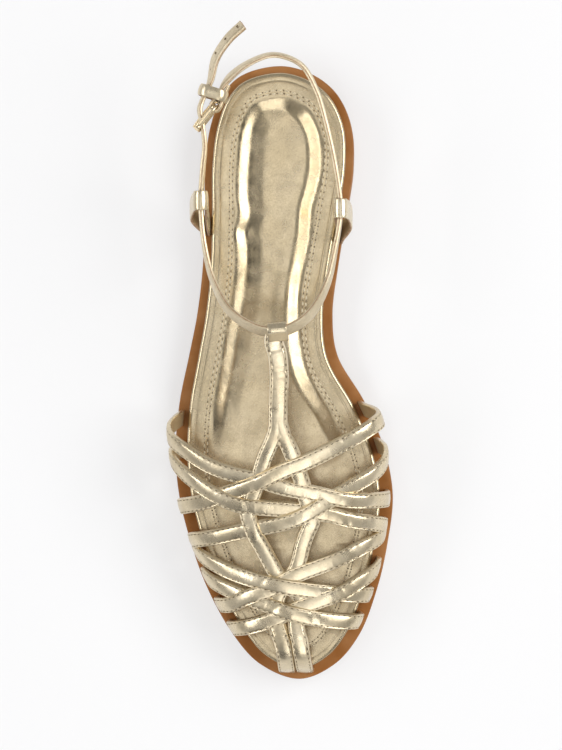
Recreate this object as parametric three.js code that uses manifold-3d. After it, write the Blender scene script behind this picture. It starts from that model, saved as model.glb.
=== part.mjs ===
// Flat gladiator sandal, right foot. Millimetres, +Z up, the toe towards -Y and the medial side towards +X.
// The origin is the middle of the heel's ground face. Straps are bands swept over the form of a foot.
import * as THREE from "three";
import { mergeVertices } from "three/addons/utils/BufferGeometryUtils.js";
import Module from "manifold-3d";

const wasm = await Module();
wasm.setup();

// Sole and insole.
const SOLE_LENGTH = 250.7;
const BALL_WIDTH = 88;
const HEEL_HEIGHT = 16;
const BALL_HEIGHT = 6;
const TOE_SPRING = 4.5;
const ARCH_RISE = 7;
const SOLE_EDGE = 0.9;
const RIM = 4;
const INSOLE_THICKNESS = 3.8;
const INSOLE_EDGE = 1;
const CUP_DEPTH = 2.4;
const CUP_INSET = 9;

// Upper.
const VAMP_HEIGHT = 39;
const STRAP_WIDTH = 6.7;
const STRAP_THICKNESS = 1.8;
const T_STRAP_WIDTH = 7.6;
const TOE_STRAP_WIDTH = 7;
const TAB_WIDTH = 7.6;
const TAB_THICKNESS = 1.1;
const TAB_BULGE = 5;
const TAB_LEAN = 8.5;

// Ankle strap, its buckle and its keeper.
const ANKLE_HEIGHT = 58;
const ANKLE_STRAP_WIDTH = 6;
const ANKLE_STRAP_THICKNESS = 1.9;
const BUCKLE_LENGTH = 11.6;
const BUCKLE_BAR = 1.6;
const PRONG_DIAMETER = 1.2;
const KEEPER_WIDTH = 4.6;
const KEEPER_THICKNESS = 1.1;

// Clearances: where pieces meet, and round a strap in its loops.
const GAP = 0.3;
const LOOP_PLAY = 0.45;

// Where the origin lies along the sole, from the back of the heel.
const HEEL_CENTRE = 0.114;

// Outline of the sole. Sides are shares of the ball width.
const OUTLINE = [
  { along: 0.015, lateral: 0.185, medial: 0.15 },
  { along: 0.046, lateral: 0.273, medial: 0.257 },
  { along: 0.098, lateral: 0.33, medial: 0.324 },
  { along: 0.165, lateral: 0.355, medial: 0.333 },
  { along: 0.241, lateral: 0.358, medial: 0.302 },
  { along: 0.327, lateral: 0.368, medial: 0.261 },
  { along: 0.403, lateral: 0.395, medial: 0.235 },
  { along: 0.47, lateral: 0.434, medial: 0.257 },
  { along: 0.546, lateral: 0.48, medial: 0.382 },
  { along: 0.623, lateral: 0.5, medial: 0.475 },
  { along: 0.699, lateral: 0.485, medial: 0.516 },
  { along: 0.776, lateral: 0.431, medial: 0.493 },
  { along: 0.852, lateral: 0.352, medial: 0.444 },
  { along: 0.928, lateral: 0.23, medial: 0.36 },
  { along: 0.976, lateral: 0.103, medial: 0.245 },
];
const HEEL_TIP = 0;
const TOE_TIP = 0.082;

// Height of the sole's top: a share of the drop from heel to ball, and a share of the toe spring.
const TOP = [
  { along: 0, drop: 1, spring: 0 },
  { along: 0.16, drop: 0.98, spring: 0 },
  { along: 0.3, drop: 0.79, spring: 0 },
  { along: 0.42, drop: 0.48, spring: 0 },
  { along: 0.54, drop: 0.16, spring: 0 },
  { along: 0.64, drop: 0.02, spring: 0 },
  { along: 0.76, drop: 0, spring: 0 },
  { along: 0.88, drop: 0, spring: 0.3 },
  { along: 1, drop: 0, spring: 1 },
];

// Height of the underside in front of the heel: shares of the arch's rise and of the toe spring.
const UNDERSIDE = [
  { along: 0.256, arch: 1, spring: 0 },
  { along: 0.3, arch: 0.9, spring: 0 },
  { along: 0.36, arch: 0.72, spring: 0 },
  { along: 0.42, arch: 0.5, spring: 0 },
  { along: 0.5, arch: 0.18, spring: 0 },
  { along: 0.56, arch: 0, spring: 0 },
  { along: 0.78, arch: 0, spring: 0 },
  { along: 0.88, arch: 0, spring: 0.3 },
  { along: 1, arch: 0, spring: 1 },
];
const HEEL_BREAST = [0.248, 0.256];

// Bare rim of the sole round the insole, as shares of the rim.
const MARGIN = [
  { along: 0, rim: 0.78 },
  { along: 0.2, rim: 0.8 },
  { along: 0.42, rim: 0.95 },
  { along: 0.6, rim: 1.22 },
  { along: 0.75, rim: 1.3 },
  { along: 0.9, rim: 1.3 },
  { along: 1, rim: 1.08 },
];

// Form of the foot that the straps lie on. Crown is a share of the vamp's height above the sole,
// flare says how far each side swells, and lateral and medial say how far the straps stand in
// from the sole's edge, as shares of the rim.
const FORM = [
  { along: 0.42, crown: 1.36, flareLateral: 1.15, flareMedial: 1.3, lateral: 0.2, medial: 0.25 },
  { along: 0.5, crown: 1.27, flareLateral: 1.15, flareMedial: 1.3, lateral: 0.2, medial: 0.25 },
  { along: 0.58, crown: 1.16, flareLateral: 1, flareMedial: 1.2, lateral: 0.2, medial: 0.3 },
  { along: 0.66, crown: 1, flareLateral: 0.8, flareMedial: 0.75, lateral: 0.26, medial: 0.35 },
  { along: 0.74, crown: 0.83, flareLateral: 0.7, flareMedial: 0.6, lateral: 0.3, medial: 0.42 },
  { along: 0.82, crown: 0.67, flareLateral: 0.65, flareMedial: 0.7, lateral: 0.45, medial: 0.5 },
  { along: 0.9, crown: 0.55, flareLateral: 0.65, flareMedial: 0.76, lateral: 0.45, medial: 0.75 },
  { along: 1, crown: 0.45, flareLateral: 0.65, flareMedial: 0.76, lateral: 0.45, medial: 0.75 },
];
const TOE_EDGE = 0.945;
const TOE_WALL = [0.915, 0.982];

// Straps over the foot. Girth runs from 0 at the lateral rim to 1 at the medial rim, and lift
// is 1 where a strap passes over its neighbour.
const LIFT = 1.2;
const WEAVE = {
  // From a lateral loop at the instep, across to the medial side of the ball.
  a: [
    { along: 0.572, girth: -0.02, lift: 0 },
    { along: 0.578, girth: 0.08, lift: 0 },
    { along: 0.59, girth: 0.17, lift: 0 },
    { along: 0.606, girth: 0.25, lift: 0 },
    { along: 0.62, girth: 0.305, lift: 0 },
    { along: 0.647, girth: 0.375, lift: 0 },
    { along: 0.6615, girth: 0.428, lift: 0 },
    { along: 0.667, girth: 0.458, lift: 0 },
    { along: 0.68, girth: 0.503, lift: 0 },
    { along: 0.69, girth: 0.565, lift: 0.3 },
    { along: 0.699, girth: 0.63, lift: 1 },
    { along: 0.702, girth: 0.72, lift: 0.4 },
    { along: 0.703, girth: 0.82, lift: 0 },
    { along: 0.703, girth: 0.92, lift: 0 },
    { along: 0.703, girth: 1.02, lift: 0 },
  ],
  // From a medial loop at the instep, across to the lateral side of the ball.
  b: [
    { along: 0.558, girth: 1.02, lift: 0 },
    { along: 0.562, girth: 0.92, lift: 0 },
    { along: 0.568, girth: 0.83, lift: 0 },
    { along: 0.574, girth: 0.77, lift: 0 },
    { along: 0.584, girth: 0.7, lift: 0 },
    { along: 0.606, girth: 0.63, lift: 0 },
    { along: 0.6355, girth: 0.558, lift: 0.6 },
    { along: 0.654, girth: 0.505, lift: 1 },
    { along: 0.671, girth: 0.465, lift: 1 },
    { along: 0.684, girth: 0.423, lift: 0.6 },
    { along: 0.6935, girth: 0.386, lift: 0.1 },
    { along: 0.7066, girth: 0.325, lift: 0 },
    { along: 0.713, girth: 0.24, lift: 0 },
    { along: 0.716, girth: 0.12, lift: 0 },
    { along: 0.717, girth: -0.02, lift: 0 },
  ],
  // From the second lateral loop to the medial V.
  c: [
    { along: 0.627, girth: -0.02, lift: 0 },
    { along: 0.628, girth: 0.1, lift: 0 },
    { along: 0.636, girth: 0.2, lift: 0 },
    { along: 0.6505, girth: 0.26, lift: 0 },
    { along: 0.669, girth: 0.318, lift: 0.5 },
    { along: 0.6917, girth: 0.374, lift: 1 },
    { along: 0.7068, girth: 0.4165, lift: 1 },
    { along: 0.7123, girth: 0.4597, lift: 0.5 },
    { along: 0.716, girth: 0.51, lift: 0 },
    { along: 0.7235, girth: 0.587, lift: 0 },
    { along: 0.733, girth: 0.644, lift: 0 },
    { along: 0.74, girth: 0.73, lift: 0 },
    { along: 0.7455, girth: 0.83, lift: 0 },
    { along: 0.748, girth: 0.93, lift: 0 },
    { along: 0.748, girth: 1.02, lift: 0 },
  ],
  // From the lateral V to the second medial loop.
  d: [
    { along: 0.773, girth: -0.02, lift: 0 },
    { along: 0.772, girth: 0.1, lift: 0 },
    { along: 0.769, girth: 0.22, lift: 0 },
    { along: 0.763, girth: 0.33, lift: 0 },
    { along: 0.7516, girth: 0.417, lift: 0 },
    { along: 0.744, girth: 0.465, lift: 0.2 },
    { along: 0.735, girth: 0.509, lift: 0.8 },
    { along: 0.7235, girth: 0.542, lift: 1.2 },
    { along: 0.7087, girth: 0.576, lift: 0.8 },
    { along: 0.6823, girth: 0.6385, lift: 0 },
    { along: 0.6637, girth: 0.698, lift: 0 },
    { along: 0.644, girth: 0.77, lift: 0 },
    { along: 0.628, girth: 0.84, lift: 0 },
    { along: 0.62, girth: 0.92, lift: 0 },
    { along: 0.618, girth: 1.02, lift: 0 },
  ],
  // From the medial V, across the toes to the lateral side.
  e: [
    { along: 0.757, girth: 1.02, lift: 0 },
    { along: 0.757, girth: 0.92, lift: 0 },
    { along: 0.761, girth: 0.82, lift: 0 },
    { along: 0.776, girth: 0.705, lift: 0 },
    { along: 0.7915, girth: 0.639, lift: 0 },
    { along: 0.808, girth: 0.572, lift: 0.2 },
    { along: 0.8233, girth: 0.514, lift: 0.6 },
    { along: 0.8345, girth: 0.485, lift: 0.6 },
    { along: 0.846, girth: 0.457, lift: 0.8 },
    { along: 0.859, girth: 0.387, lift: 1 },
    { along: 0.872, girth: 0.315, lift: 0.3 },
    { along: 0.875, girth: 0.2, lift: 0 },
    { along: 0.875, girth: 0.09, lift: 0 },
    { along: 0.875, girth: -0.02, lift: 0 },
  ],
  // From the lateral V, across the toes to the medial side.
  f: [
    { along: 0.784, girth: -0.02, lift: 0 },
    { along: 0.7845, girth: 0.08, lift: 0 },
    { along: 0.789, girth: 0.2, lift: 0 },
    { along: 0.808, girth: 0.303, lift: 0 },
    { along: 0.823, girth: 0.375, lift: 0.2 },
    { along: 0.8327, girth: 0.432, lift: 1 },
    { along: 0.84, girth: 0.485, lift: 1.6 },
    { along: 0.846, girth: 0.54, lift: 1 },
    { along: 0.855, girth: 0.665, lift: 0 },
    { along: 0.857, girth: 0.77, lift: 0 },
    { along: 0.858, girth: 0.88, lift: 0 },
    { along: 0.858, girth: 1.02, lift: 0 },
  ],
  // From the medial rim by the toes, forwards to the lateral rim.
  g: [
    { along: 0.812, girth: 1.02, lift: 0 },
    { along: 0.811, girth: 0.92, lift: 0 },
    { along: 0.813, girth: 0.82, lift: 0 },
    { along: 0.831, girth: 0.7, lift: 0.6 },
    { along: 0.8477, girth: 0.645, lift: 1 },
    { along: 0.8626, girth: 0.581, lift: 0.8 },
    { along: 0.8758, girth: 0.5256, lift: 0.4 },
    { along: 0.8944, girth: 0.4544, lift: 0.3 },
    { along: 0.9058, girth: 0.371, lift: 0.5 },
    { along: 0.912, girth: 0.25, lift: 0 },
    { along: 0.913, girth: 0.12, lift: 0 },
    { along: 0.913, girth: -0.02, lift: 0 },
  ],
  // From the lateral rim by the toes, forwards to the medial rim.
  h: [
    { along: 0.826, girth: -0.02, lift: 0 },
    { along: 0.826, girth: 0.09, lift: 0 },
    { along: 0.829, girth: 0.19, lift: 0 },
    { along: 0.84, girth: 0.27, lift: 0 },
    { along: 0.855, girth: 0.357, lift: 0 },
    { along: 0.87, girth: 0.4325, lift: 0.4 },
    { along: 0.883, girth: 0.492, lift: 1.4 },
    { along: 0.8925, girth: 0.562, lift: 1 },
    { along: 0.899, girth: 0.675, lift: 0 },
    { along: 0.9, girth: 0.78, lift: 0 },
    { along: 0.9, girth: 0.88, lift: 0 },
    { along: 0.9, girth: 1.02, lift: 0 },
  ],
};
const LEGS = {
  left: [
    { along: 0.575, girth: 0.512, lift: 0 },
    { along: 0.597, girth: 0.504, lift: 0 },
    { along: 0.632, girth: 0.482, lift: 0 },
    { along: 0.6747, girth: 0.46, lift: 0 },
    { along: 0.7, girth: 0.445, lift: 0.1 },
    { along: 0.72, girth: 0.434, lift: 0.5 },
    { along: 0.7367, girth: 0.436, lift: 0.9 },
    { along: 0.7535, girth: 0.44, lift: 0.9 },
    { along: 0.772, girth: 0.448, lift: 0.3 },
    { along: 0.8175, girth: 0.471, lift: 0 },
    { along: 0.8365, girth: 0.485, lift: 0 },
    { along: 0.8625, girth: 0.468, lift: 0 },
    { along: 0.884, girth: 0.455, lift: -0.2 },
  ],
  right: [
    { along: 0.575, girth: 0.514, lift: 0 },
    { along: 0.597, girth: 0.518, lift: 0 },
    { along: 0.632, girth: 0.529, lift: 0 },
    { along: 0.6655, girth: 0.539, lift: 0 },
    { along: 0.703, girth: 0.548, lift: 0 },
    { along: 0.733, girth: 0.558, lift: 0 },
    { along: 0.7555, girth: 0.546, lift: 0 },
    { along: 0.772, girth: 0.537, lift: 0 },
    { along: 0.81, girth: 0.52, lift: 0 },
    { along: 0.8365, girth: 0.502, lift: 0 },
    { along: 0.8625, girth: 0.53, lift: 0 },
    { along: 0.884, girth: 0.525, lift: -0.2 },
  ],
};
const TOE_STRAPS = {
  left: [
    { along: 0.872, girth: 0.455, lift: -0.1 },
    { along: 0.8944, girth: 0.453, lift: -0.1 },
    { along: 0.9115, girth: 0.455, lift: 0 },
    { along: 0.936, girth: 0.462, lift: 0 },
    { along: 0.958, girth: 0.466, lift: 0 },
    { along: 0.974, girth: 0.468, lift: 0 },
    { along: 0.981, girth: 0.469, lift: 0 },
    { along: 0.986, girth: 0.47, lift: 0 },
  ],
  right: [
    { along: 0.872, girth: 0.524, lift: -0.1 },
    { along: 0.8944, girth: 0.516, lift: -0.1 },
    { along: 0.9115, girth: 0.515, lift: 0 },
    { along: 0.936, girth: 0.526, lift: 0 },
    { along: 0.958, girth: 0.535, lift: 0 },
    { along: 0.974, girth: 0.54, lift: 0 },
    { along: 0.981, girth: 0.542, lift: 0 },
    { along: 0.986, girth: 0.543, lift: 0 },
  ],
};
const T_STRAP = [
  { along: 0.436, girth: 0.538, lift: 0.6 },
  { along: 0.45, girth: 0.536, lift: 0.3 },
  { along: 0.47, girth: 0.541, lift: 0 },
  { along: 0.5, girth: 0.535, lift: 0 },
  { along: 0.53, girth: 0.524, lift: 0 },
  { along: 0.56, girth: 0.516, lift: 0 },
  { along: 0.585, girth: 0.512, lift: 0 },
  { along: 0.6, girth: 0.512, lift: 0 },
];

// Route of the ankle strap, from the buckle round the heel, through the medial, instep and
// lateral loops and back through the buckle to its free tip. Across is a share of the ball width,
// up a share of the ankle height, and tilt turns its outer face upwards, in degrees.
const ANKLE = [
  { name: "buckle", along: 0.076, across: -0.266, up: 1, tilt: 2 },
  { name: "tail", along: 0.064, across: -0.257, up: 1, tilt: 3 },
  { along: 0.034, across: -0.207, up: 1.01, tilt: 24 },
  { along: 0.009, across: -0.1, up: 1.03, tilt: 16 },
  { along: 0.001, across: -0.008, up: 1.035, tilt: 12 },
  { along: 0.016, across: 0.106, up: 1.02, tilt: 8 },
  { along: 0.055, across: 0.174, up: 1, tilt: 4 },
  { along: 0.11, across: 0.22, up: 0.98, tilt: 0 },
  { along: 0.178, across: 0.261, up: 0.94, tilt: 0 },
  { name: "medial", along: 0.241, across: 0.282, up: 0.9, tilt: 0 },
  { along: 0.3, across: 0.26, up: 0.92, tilt: 4 },
  { along: 0.36, across: 0.222, up: 0.98, tilt: 14 },
  { along: 0.405, across: 0.155, up: 1.06, tilt: 26 },
  { along: 0.428, across: 0.075, up: 1.12, tilt: 32 },
  { name: "instep", along: 0.435, across: 0.006, up: 1.14, tilt: 33 },
  { along: 0.431, across: -0.085, up: 1.11, tilt: 31 },
  { along: 0.404, across: -0.208, up: 1.03, tilt: 24 },
  { along: 0.355, across: -0.289, up: 0.95, tilt: 14 },
  { along: 0.295, across: -0.332, up: 0.9, tilt: 6 },
  { name: "lateral", along: 0.228, across: -0.346, up: 0.9, tilt: 0 },
  { along: 0.178, across: -0.336, up: 0.94, tilt: 0 },
  { along: 0.14, across: -0.326, up: 0.97, tilt: 2 },
  { name: "hole", along: 0.104, across: -0.338, up: 1, tilt: 4 },
  { along: 0.084, across: -0.347, up: 1, tilt: 8 },
  { name: "keeper", along: 0.057, across: -0.317, up: 1, tilt: 5 },
  { along: 0.04, across: -0.298, up: 1.01, tilt: 16 },
  { along: 0.006, across: -0.274, up: 1.035, tilt: 30 },
  { along: -0.024, across: -0.216, up: 1.06, tilt: 36 },
  { along: -0.045, across: -0.15, up: 1.08, tilt: 40 },
];

const UP = new THREE.Vector3(0, 0, 1);
const BACK = new THREE.Vector3(0, 1, 0);

// Value of one column of a table at a place along the sole, by a smooth curve through its rows.
function read(table, column, along) {
  const last = table.length - 1;
  const x = THREE.MathUtils.clamp(along, table[0].along, table[last].along);
  let i = 0;
  while (i < last - 1 && table[i + 1].along < x) i++;
  const slope = (k) => {
    const a = table[Math.max(k - 1, 0)];
    const b = table[Math.min(k + 1, last)];
    return (b[column] - a[column]) / (b.along - a.along);
  };
  const h = table[i + 1].along - table[i].along;
  const t = (x - table[i].along) / h;
  return (
    (2 * t ** 3 - 3 * t ** 2 + 1) * table[i][column] +
    (t ** 3 - 2 * t ** 2 + t) * h * slope(i) +
    (3 * t ** 2 - 2 * t ** 3) * table[i + 1][column] +
    (t ** 3 - t ** 2) * h * slope(i + 1)
  );
}

function yAt(along) {
  return (HEEL_CENTRE - along) * SOLE_LENGTH;
}

function alongAt(y) {
  return HEEL_CENTRE - y / SOLE_LENGTH;
}

// Closed outline of the sole as points in plan.
function soleOutline() {
  const point = (along, across) =>
    new THREE.Vector3(across * BALL_WIDTH, yAt(along), 0);
  const medial = OUTLINE.map((row) => point(row.along, row.medial));
  const lateral = OUTLINE.map((row) => point(row.along, -row.lateral));
  const ring = [
    point(0, HEEL_TIP),
    ...medial,
    point(1, TOE_TIP),
    ...lateral.reverse(),
  ];
  return new THREE.CatmullRomCurve3(ring, true, "centripetal").getPoints(640);
}

// The same outline moved inwards by a distance that may change along the sole.
function inset(outline, distance) {
  const points = outline.slice(0, -1);
  return points.map((point, i) => {
    const before = points[(i + points.length - 1) % points.length];
    const after = points[(i + 1) % points.length];
    const inwards = after.clone().sub(before).normalize().cross(UP);
    return point.clone().addScaledVector(inwards, distance(alongAt(point.y)));
  });
}

// The two sides of an outline at a place along the sole.
function sidesAt(outline, along) {
  const y = yAt(along);
  let low = Infinity;
  let high = -Infinity;
  outline.forEach((a, i) => {
    const b = outline[(i + 1) % outline.length];
    if (a.y === b.y || (a.y - y) * (b.y - y) > 0) return;
    const x = a.x + ((b.x - a.x) * (y - a.y)) / (b.y - a.y);
    low = Math.min(low, x);
    high = Math.max(high, x);
  });
  return [low, high];
}

const SOLE = soleOutline();
const INSOLE = inset(SOLE, (along) => RIM * read(MARGIN, "rim", along));

function topAt(along) {
  return (
    BALL_HEIGHT +
    (HEEL_HEIGHT - BALL_HEIGHT) * read(TOP, "drop", along) +
    TOE_SPRING * read(TOP, "spring", along)
  );
}

function undersideAt(along) {
  if (along <= HEEL_BREAST[0]) return 0;
  const arch = Math.max(read(UNDERSIDE, "arch", along), 0);
  const spring = Math.max(read(UNDERSIDE, "spring", along), 0);
  return ARCH_RISE * arch + TOE_SPRING * spring;
}

// Places along a sole, closer together towards its rounded ends.
function stations(from, to, count, extra = []) {
  const spread = Array.from({ length: count + 1 }, (_, i) =>
    from + ((to - from) * (1 - Math.cos((Math.PI * i) / count))) / 2,
  );
  const kept = spread.filter((s) => extra.every((e) => Math.abs(e - s) > 0.006));
  return [...kept, ...extra].sort((a, b) => a - b);
}

// Closed body through rings of equal length, each ring counter-clockwise seen from the last ring.
function loft(rings) {
  const count = rings[0].length;
  const positions = rings.flat().flatMap((p) => [p.x, p.y, p.z]);
  const index = [];
  for (let r = 0; r < rings.length - 1; r++)
    for (let i = 0; i < count; i++) {
      const a = r * count + i;
      const b = r * count + ((i + 1) % count);
      index.push(a, b, b + count, a, b + count, a + count);
    }
  const cap = (ring, start, turned) => {
    const flat = ring.map((p) => new THREE.Vector2(p.x, p.z));
    for (const [a, b, c] of THREE.ShapeUtils.triangulateShape(flat, []))
      index.push(start + a, start + (turned ? c : b), start + (turned ? b : c));
  };
  cap(rings[0], 0, true);
  cap(rings.at(-1), (rings.length - 1) * count, false);
  const geometry = new THREE.BufferGeometry();
  geometry.setAttribute("position", new THREE.Float32BufferAttribute(positions, 3));
  geometry.setIndex(index);
  return geometry;
}

// Geometry to solid and back.
function solid(geometry) {
  const bare = geometry.clone();
  bare.deleteAttribute("normal");
  bare.deleteAttribute("uv");
  bare.clearGroups();
  const merged = mergeVertices(bare, 1e-4);
  return new wasm.Manifold(
    new wasm.Mesh({
      numProp: 3,
      vertProperties: merged.attributes.position.array,
      triVerts: new Uint32Array(merged.index.array),
    }),
  );
}

function join(solids) {
  return solids.reduce((all, next) => all.add(next));
}

function toGeometry(body) {
  const mesh = body.getMesh();
  const positions = new Float32Array(mesh.numVert * 3);
  for (let i = 0; i < mesh.numVert; i++)
    positions.set(
      mesh.vertProperties.subarray(i * mesh.numProp, i * mesh.numProp + 3),
      i * 3,
    );
  const geometry = new THREE.BufferGeometry();
  geometry.setAttribute("position", new THREE.BufferAttribute(positions, 3));
  geometry.setIndex(new THREE.BufferAttribute(new Uint32Array(mesh.triVerts), 1));
  geometry.computeVertexNormals();
  return geometry;
}

// Moulded sole: one body with a low heel, an arch and a sprung toe.
function outsoleGeometry() {
  const places = stations(0.0006, 0.9994, 38, HEEL_BREAST);
  const rings = places.map((along) => {
    const [low, high] = sidesAt(SOLE, along);
    const y = yAt(along);
    const edge = Math.min(SOLE_EDGE, (high - low) / 5);
    const bottom = undersideAt(along);
    const top = topAt(along);
    const p = (x, z) => new THREE.Vector3(x, y, z);
    return [
      p(low + edge, bottom),
      p(high - edge, bottom),
      p(high, bottom + edge),
      p(high, top - edge / 2),
      p(high - edge / 2, top),
      p(low + edge / 2, top),
      p(low, top - edge / 2),
      p(low, bottom + edge),
    ];
  });
  return loft(rings);
}

// Distance from a point in plan to an outline.
function distanceTo(outline, x, y) {
  let nearest = Infinity;
  for (const p of outline) nearest = Math.min(nearest, Math.hypot(p.x - x, p.y - y));
  return nearest;
}

// Wrapped insole with a cupped footbed that fades out at the ball.
const FOOTBED = [-0.985, -0.86, -0.66, -0.45, 0, 0.45, 0.66, 0.86, 0.985];

function footbedDip(x, y) {
  const wall = THREE.MathUtils.smoothstep(distanceTo(INSOLE, x, y), CUP_INSET * 0.75, CUP_INSET * 1.4);
  const fade = 1 - THREE.MathUtils.smoothstep(alongAt(y), 0.48, 0.66);
  return CUP_DEPTH * wall * fade;
}

function insoleGeometry() {
  const ends = INSOLE.map((p) => alongAt(p.y));
  const from = Math.min(...ends) + 0.0006;
  const to = Math.max(...ends) - 0.0006;
  const rings = stations(from, to, 34).map((along) => {
    const [low, high] = sidesAt(INSOLE, along);
    const y = yAt(along);
    const middle = (low + high) / 2;
    const half = (high - low) / 2;
    const edge = Math.min(INSOLE_EDGE, half / 3);
    const bottom = topAt(along) + GAP;
    const top = bottom + INSOLE_THICKNESS;
    const p = (x, z) => new THREE.Vector3(x, y, z);
    const bed = FOOTBED.map((share) => {
      const x = middle + share * (half - edge);
      return p(x, top - footbedDip(x, y));
    });
    return [
      p(low + edge / 2, bottom),
      p(high - edge / 2, bottom),
      p(high, bottom + edge),
      p(high, top - edge),
      ...bed.reverse(),
      p(low, top - edge),
      p(low, bottom + edge),
    ];
  });
  return loft(rings);
}

// Space that the sole and insole take, with the gap round it, to trim the straps' ends against.
function soleSpace() {
  const below = stations(0.0006, 0.9994, 38).map((along) => {
    const [low, high] = sidesAt(SOLE, along);
    const y = yAt(along) * (1 + 0.004);
    const top = topAt(along) + GAP;
    const p = (x, z) => new THREE.Vector3(x, y, z);
    return [p(low - 6, -30), p(high + 6, -30), p(high + 6, top), p(low - 6, top)];
  });
  const grown = inset(SOLE, (along) => RIM * read(MARGIN, "rim", along) - GAP);
  const ends = grown.map((p) => alongAt(p.y));
  const inner = stations(Math.min(...ends) + 0.0006, Math.max(...ends) - 0.0006, 34).map((along) => {
    const [low, high] = sidesAt(grown, along);
    const y = yAt(along);
    const top = topAt(along) + GAP + INSOLE_THICKNESS + GAP;
    const p = (x, z) => new THREE.Vector3(x, y, z);
    return [p(low, -30), p(high, -30), p(high, top), p(low, top)];
  });
  return join([solid(loft(below)), solid(loft(inner))]);
}

// Point on the foot's form.
function formPoint(along, girth) {
  const edge = Math.min(along, TOE_EDGE);
  const [low, high] = sidesAt(SOLE, edge);
  const left = low + RIM * read(FORM, "lateral", along) + STRAP_THICKNESS;
  const right = high - RIM * read(FORM, "medial", along) - STRAP_THICKNESS;
  const inside = THREE.MathUtils.clamp(girth, 0, 1);
  const angle = Math.PI * (1 - inside);
  const c = Math.cos(angle);
  const s = Math.sin(angle);
  const flare = read(FORM, c < 0 ? "flareLateral" : "flareMedial", along);
  const wall = THREE.MathUtils.clamp((along - TOE_WALL[0]) / (TOE_WALL[1] - TOE_WALL[0]), 0, 1);
  const crown = VAMP_HEIGHT * read(FORM, "crown", along) * Math.sqrt(Math.max(1 - wall ** 2.6, 0));
  const beyond = (inside - girth) * Math.sign(0.5 - inside) * 120;
  const past = Math.max(along - TOE_WALL[1], 0) * SOLE_LENGTH * 2;
  return new THREE.Vector3(
    (left + right) / 2 + ((right - left) / 2) * c * (1 + flare * s * s),
    yAt(Math.min(along, TOE_WALL[1])),
    topAt(edge) + crown * s ** 1.2 * (1 + 0.12 * c) - beyond - past,
  );
}

// Outward normal of the form.
function formNormal(along, girth) {
  const step = 0.004;
  const forwards = formPoint(along + step, girth).sub(formPoint(along - step, girth));
  const across = formPoint(along, girth + step).sub(formPoint(along, girth - step));
  return across.cross(forwards).negate().normalize();
}

// Centre line of a strap on the form, with frames whose normals leave the form.
class FormCurve extends THREE.Curve {
  constructor(rows) {
    super();
    const points = rows.map(
      (row) => new THREE.Vector3(row.along * SOLE_LENGTH, row.girth * 2 * VAMP_HEIGHT, row.lift * LIFT),
    );
    this.route = new THREE.CatmullRomCurve3(points, false, "centripetal");
  }

  place(t) {
    const p = this.route.getPoint(t);
    return [p.x / SOLE_LENGTH, p.y / (2 * VAMP_HEIGHT), p.z];
  }

  getPoint(t, target = new THREE.Vector3()) {
    const [along, girth, lift] = this.place(t);
    return target.copy(formPoint(along, girth)).addScaledVector(formNormal(along, girth), lift);
  }

  computeFrenetFrames(segments) {
    const tangents = [];
    const normals = [];
    const binormals = [];
    for (let i = 0; i <= segments; i++) {
      const tangent = this.getTangentAt(i / segments);
      const [along, girth] = this.place(this.getUtoTmapping(i / segments));
      const side = tangent.clone().cross(formNormal(along, girth)).normalize();
      tangents.push(tangent);
      binormals.push(side);
      normals.push(side.clone().cross(tangent).normalize());
    }
    return { tangents, normals, binormals };
  }
}

// Section of a folded leather strap: flat underneath, with its upper corners rounded off.
function strapSection(width, thickness) {
  const half = width / 2;
  return new THREE.Shape([
    new THREE.Vector2(0, -half),
    new THREE.Vector2(thickness * 0.6, -half),
    new THREE.Vector2(thickness, -half + thickness * 0.5),
    new THREE.Vector2(thickness, half - thickness * 0.5),
    new THREE.Vector2(thickness * 0.6, half),
    new THREE.Vector2(0, half),
  ]);
}

function strap(rows, width, steps) {
  const geometry = new THREE.ExtrudeGeometry(strapSection(width, STRAP_THICKNESS), {
    steps,
    extrudePath: new FormCurve(rows),
  });
  return solid(geometry);
}

// Named place on the ankle strap's route.
function anklePoint(row) {
  return new THREE.Vector3(
    row.across * BALL_WIDTH,
    yAt(row.along),
    row.up * ANKLE_HEIGHT,
  );
}

function ankleRow(name) {
  return ANKLE.find((row) => row.name === name);
}

// Route of the ankle strap, which stands on edge: its width runs upwards, tilted where it lies on the instep.
class AnkleCurve extends THREE.Curve {
  constructor() {
    super();
    this.route = new THREE.CatmullRomCurve3(ANKLE.map(anklePoint), false, "centripetal");
  }

  getPoint(t, target = new THREE.Vector3()) {
    return this.route.getPoint(t, target);
  }

  tiltAt(t) {
    const place = t * (ANKLE.length - 1);
    const i = Math.min(Math.floor(place), ANKLE.length - 2);
    return THREE.MathUtils.degToRad(
      THREE.MathUtils.lerp(ANKLE[i].tilt, ANKLE[i + 1].tilt, place - i),
    );
  }

  frameAt(t) {
    const tangent = this.getTangent(t);
    const outward = UP.clone().cross(tangent).normalize();
    const normal = outward.applyAxisAngle(tangent, this.tiltAt(t));
    return { tangent, normal, binormal: tangent.clone().cross(normal) };
  }

  computeFrenetFrames(segments) {
    const frames = Array.from({ length: segments + 1 }, (_, i) =>
      this.frameAt(this.getUtoTmapping(i / segments)),
    );
    return {
      tangents: frames.map((f) => f.tangent),
      normals: frames.map((f) => f.normal),
      binormals: frames.map((f) => f.binormal),
    };
  }
}

const ankleCurve = new AnkleCurve();

// Rectangle in plan for a band that is swept or stands on edge.
function bandSection(thickness, width) {
  const t = thickness / 2;
  const w = width / 2;
  const c = Math.min(t, w) * 0.4;
  return new THREE.Shape([
    new THREE.Vector2(-t, -w + c),
    new THREE.Vector2(-t + c, -w),
    new THREE.Vector2(t - c, -w),
    new THREE.Vector2(t, -w + c),
    new THREE.Vector2(t, w - c),
    new THREE.Vector2(t - c, w),
    new THREE.Vector2(-t + c, w),
    new THREE.Vector2(-t, w - c),
  ]);
}

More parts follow.
